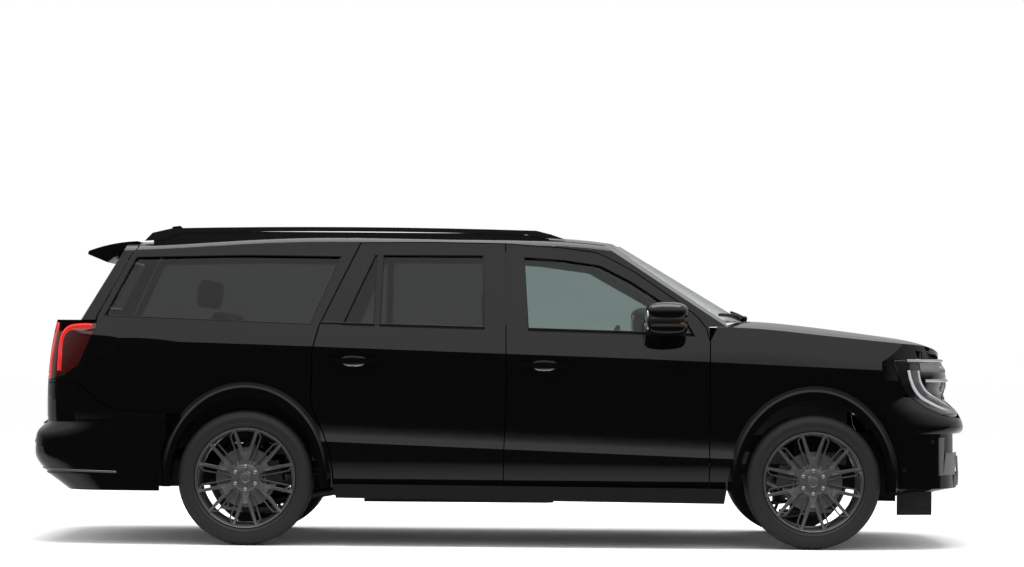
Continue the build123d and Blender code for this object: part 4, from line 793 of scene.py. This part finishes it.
rear_glass = glass_skin(-2549, 79, 1337, 196 / 320, (-0.853, 0, 0.522))
wiper_arm = resample([(0, 1402), (120, 1420), (300, 1444), (420, 1458)], 40)
wiper_blade = resample([(150, 1446), (300, 1466), (520, 1490)], 40)
rear_wiper = [wiper_strip(rear_glass, wiper_arm, 6.0, 0.016, 0.008),
              wiper_strip(rear_glass, wiper_blade, -8.0, 0.009, 0.014),
              pillow(tuple(rear_glass(0.0, 1398.0, 2.0)), (0.05, 0.06, 0.05), 3.0)]
make_piece("rear_wiper", rear_wiper, satin_black, "liftgate")
on = np.stack([np.full(30, -2.464 + datum), np.linspace(-0.16, 0.16, 30), np.full(30, 1.7275)], 1)
make_piece("high_brake_lamp", [strip(on, on + (-0.02, 0, 0.003), 0.014, 0.002, 0.001)], reflector, "liftgate")

# ---- window frames, mouldings and mirrors ----------------------------------
# Rubber seals round the side glass, gloss pillar caps, moulded belt strips, and door mirrors with
# a gloss cap, a satin middle, a bright line, an amber repeater and a mirror face.
hands = (("right", 1), ("left", -1))


def cabin_half_width(x, z):
    """Half width of the cabin's side in mm: 938 at the belt, less a lean and curve with height and a
    narrowing towards both ends."""
    t = (z - 1290) / 480
    narrowing = 2.2e-5 * np.maximum(0, -x - 900) ** 2 + 1.2e-5 * np.maximum(0, x - 200) ** 2
    return 938 - 146 * t - 30 * t**2 - narrowing


def cabin_path(points, count, inset):
    """Points along side-view corners (X, Z) on the right cabin side, moved in by inset mm."""
    points = np.asarray(points, float)
    run = np.concatenate([[0], np.cumsum(np.linalg.norm(np.diff(points, axis=0), axis=1))])
    at = np.linspace(0, run[-1], count)
    x, z = np.interp(at, run, points[:, 0]), np.interp(at, run, points[:, 1])
    return np.stack([x + datum * 1000, -(cabin_half_width(x, z) - inset), z], 1) / 1000


def seal(points, width, height, inset, count=120):
    """A rubber strip that follows side-view corners on the cabin's side."""
    on = cabin_path(points, count, inset)
    off = cabin_path(points, count, inset - 20)
    return strip(on, off, width, height)


def belt_line(x):
    return 1277 - 0.0235 * x


def flipped(parts, flip):
    """Parts on the side they are drawn on (flip 1) or on the other one (flip -1)."""
    return [(points * (1, flip, 1), faces) for points, faces in parts]


rubber_trim = finish("rubber_trim", (0.006, 0.006, 0.006), 0.5, grain=500, bump=0.2, specular_ior_level=0.3)
front_frame = [(164, belt_line(164)), (136, 1716), (380, 1700), (594, 1668), (775, 1575), (949, 1461),
               (1093, 1359), (1150, belt_line(1150)), (164, belt_line(164))]
rear_frame = [(-91, belt_line(-91)), (-103, 1724), (-700, 1722), (-712, belt_line(-712)),
              (-91, belt_line(-91))]
pane_frame = [(-742, belt_line(-742)), (-730, 1721), (-748, 1721), (-936, belt_line(-936)),
              (-742, belt_line(-742))]
quarter_frame = [(-1118, 1303), (-945, 1712), (-1500, 1716), (-2170, 1700), (-2345, 1345), (-1118, 1303)]
for side, flip in hands:
    for name, body, frames in (
        ("front_window_seal", f"front_door_{side}", [front_frame]),
        ("rear_window_seals", f"rear_door_{side}", [rear_frame, pane_frame]),
        ("quarter_window_seal", "chassis", [quarter_frame]),
    ):
        seals = [seal(corners, 0.012, 0.004, 6) for corners in frames]
        make_piece(f"{name}_{side}", flipped(seals, flip), rubber_trim, body)


def pillar_cap(corners):
    """A gloss plate over a door pillar: a grid between four side-view corners, 2 mm proud."""
    x, z = np.moveaxis(between(corners, 24, 5), -1, 0)
    half = cabin_half_width(x, z)
    outer, inner = (np.stack([x + datum * 1000, -(half + p), z], -1) / 1000 for p in (2.0, -3.0))
    return slab(outer, inner)


piano_black = finish("piano_black", (0.004, 0.004, 0.004), 0.08, grain=300, contrast=0.2)
caps = {"front_door": [(44, 1300), (150, 1298), (124, 1738), (40, 1742)],
        "rear_door": [(20, 1300), (-80, 1300), (-92, 1742), (16, 1742)]}
belts = {"front_door": [(48, 1290), (1196, 1262)], "rear_door": [(-1056, 1312), (14, 1290)]}
for side, flip in hands:
    for door, corners in caps.items():
        make_piece(f"pillar_cap_{door}_{side}", flipped([pillar_cap(corners)], flip), piano_black,
                   f"{door}_{side}")
    for door, ends in belts.items():
        make_piece(f"belt_strip_{door}_{side}", flipped([seal(ends, 0.016, 0.004, 3, 60)], flip), satin_black,
                   f"{door}_{side}")

amber = finish("amber", (0.55, 0.16, 0.01), 0.15, grain=700, contrast=0.25, coat_weight=1.0)
silvered = finish("silvered", (0.80, 0.82, 0.84), 0.03, 1.0, grain=3, contrast=0.02)
mirror_parts = {
    "shell": (gloss_black, "black_paint", [
        pillow((0.974 + datum, 1.060, 1.388), (0.254, 0.240, 0.122), 2.9, 0.05),
        pillow((0.976 + datum, 1.056, 1.300), (0.246, 0.236, 0.096), 2.9)]),
    "middle": (satin_black, "black_plastic", [
        pillow((0.974 + datum, 1.058, 1.340), (0.250, 0.238, 0.070), 3.2),
        pillow((1.010 + datum, 0.985, 1.272), (0.125, 0.104, 0.040), 4.0)]),
    "line": (bright_trim, "alloy", [
        pillow((0.974 + datum, 1.058, 1.341), (0.2525, 0.2405, 0.0040), 3.2, rows=24)]),
    "repeater": (amber, "lamp_clear", [
        pillow((1.035 + datum, 1.092, 1.326), (0.100, 0.150, 0.010), 3.2, rows=24)]),
    "glass": (silvered, "alloy", [pillow((0.862 + datum, 1.060, 1.345), (0.022, 0.176, 0.140), 3.2)]),
}
for side, flip in hands:
    for name, (material, slot, parts) in mirror_parts.items():
        make_piece(f"mirror_{name}_{side}", flipped(parts, -flip), material, f"front_door_{side}",
                   replaces=(f"mirror_{side}",) if name == "shell" else ())

# ---- windshield wipers -----------------------------------------------------
# Two pressed-steel arms with rubber blades, which park along the foot of the windshield and are
# both swept the same way.
windshield_glass = glass_skin(1509, -226, 1349, -669 / 398, (0.511, 0, 0.859))


def wiper(pivot, tip, low, high):
    """One wiper: an arm from its pivot, and a blade that lies on the glass beyond it."""
    halfway = (pivot + tip) / 2
    arm = resample([(pivot, low), ((pivot * 2 + tip) / 3, low + 22), (halfway, low + 30)], 30)
    blade = resample([(pivot * 0.8 + tip * 0.2, low + 8), (halfway, low + 22), (tip, high)], 50)
    return [wiper_strip(windshield_glass, arm, 14.0, 0.018, 0.007),
            wiper_strip(windshield_glass, blade, -4.0, 0.010, 0.016),
            pillow(tuple(windshield_glass(pivot, low, 10.0)), (0.046, 0.05, 0.036), 3.0)]


wipers = wiper(560.0, -110.0, 1352.0, 1372.0) + wiper(-120.0, -700.0, 1358.0, 1380.0)
make_piece("front_wipers", wipers, satin_black, "chassis")

# ---- running board ribs, arch shields and rail skirts ----------------------
# Moulded ribs on the step boards, shields at the ends of the wheel arches and beside the load
# space, and the skirts that close the roof rails down to the roof.
board_rear, board_length, board_top, board_drop = -0.980, 2.318, 0.363, 0.011
ribs = []
for row in range(6):
    along = np.linspace(-0.955, 1.300, 120)
    z = board_top - board_drop * (along - board_rear) / board_length
    on = np.stack([along + datum, np.full(120, 0.958 + 0.0075 * row), z], 1)
    ribs.append(strip(on, on + (0, 0, 0.02), 0.0042, 0.0022))
make_piece("board_ribs", both_hands(ribs), rubber_trim, "chassis", angle=50)
arch_reach, arch_rise, sheet = 0.462, 0.496, 0.005
shields = []
for axle, end, low, inner_y in ((front_axle, 1, 0.300, 0.62), (rear_axle, -1, 0.345, 0.73),
                                (rear_axle, 1, 0.345, 0.73)):
    z = np.linspace(low, 0.56, 14)[:, None]
    y = np.linspace(inner_y, 0.862, 10)[None, :]
    rise = (z - tyre_radius) / arch_rise * (z > tyre_radius)
    reach = arch_reach * np.sqrt(np.clip(1 - rise**2, 0, 1))
    outer = np.stack([axle + end * reach + 0 * y, y + 0 * z, z + 0 * y], -1)
    shields.append(slab(outer, outer + (end * sheet, 0, 0)))
for x0, x1, y, z0, z1 in ((2.13, 2.42, 0.445, 0.30, 0.66), (-2.60, -1.98, 0.800, 0.52, 1.10)):
    x, z = np.linspace(x0, x1, 12)[:, None], np.linspace(z0, z1, 12)[None, :]
    outer = np.stack([x + 0 * z, y + 0 * x + 0 * z, z + 0 * x], -1)
    shields.append(slab(outer, outer - (0, 0.004, 0)))
make_piece("arch_shields", both_hands(shields), liner_felt, "chassis")

x, z = np.linspace(-2.09, 0.27, 60)[:, None], np.linspace(0, 1, 4)[None, :]
top = 1.858 - 0.030 * np.clip((x + 0.02) / 0.29, 0, 1) ** 2 - 0.020 * np.clip((-2.0 - x) / 0.09, 0, 1) ** 2
foot = 1.802 - 0.055 * np.clip((-1.2 - x) / 0.89, 0, 1) ** 1.5 - 0.012 * np.clip((x + 0.1) / 0.37, 0, 1)
outer = np.stack([x + 0 * z, -0.700 + 0 * x + 0 * z, foot + (top - foot) * z], -1)
make_piece("rail_skirts", both_hands([slab(outer, outer + (0, 0.006, 0))]), satin_black, "chassis")
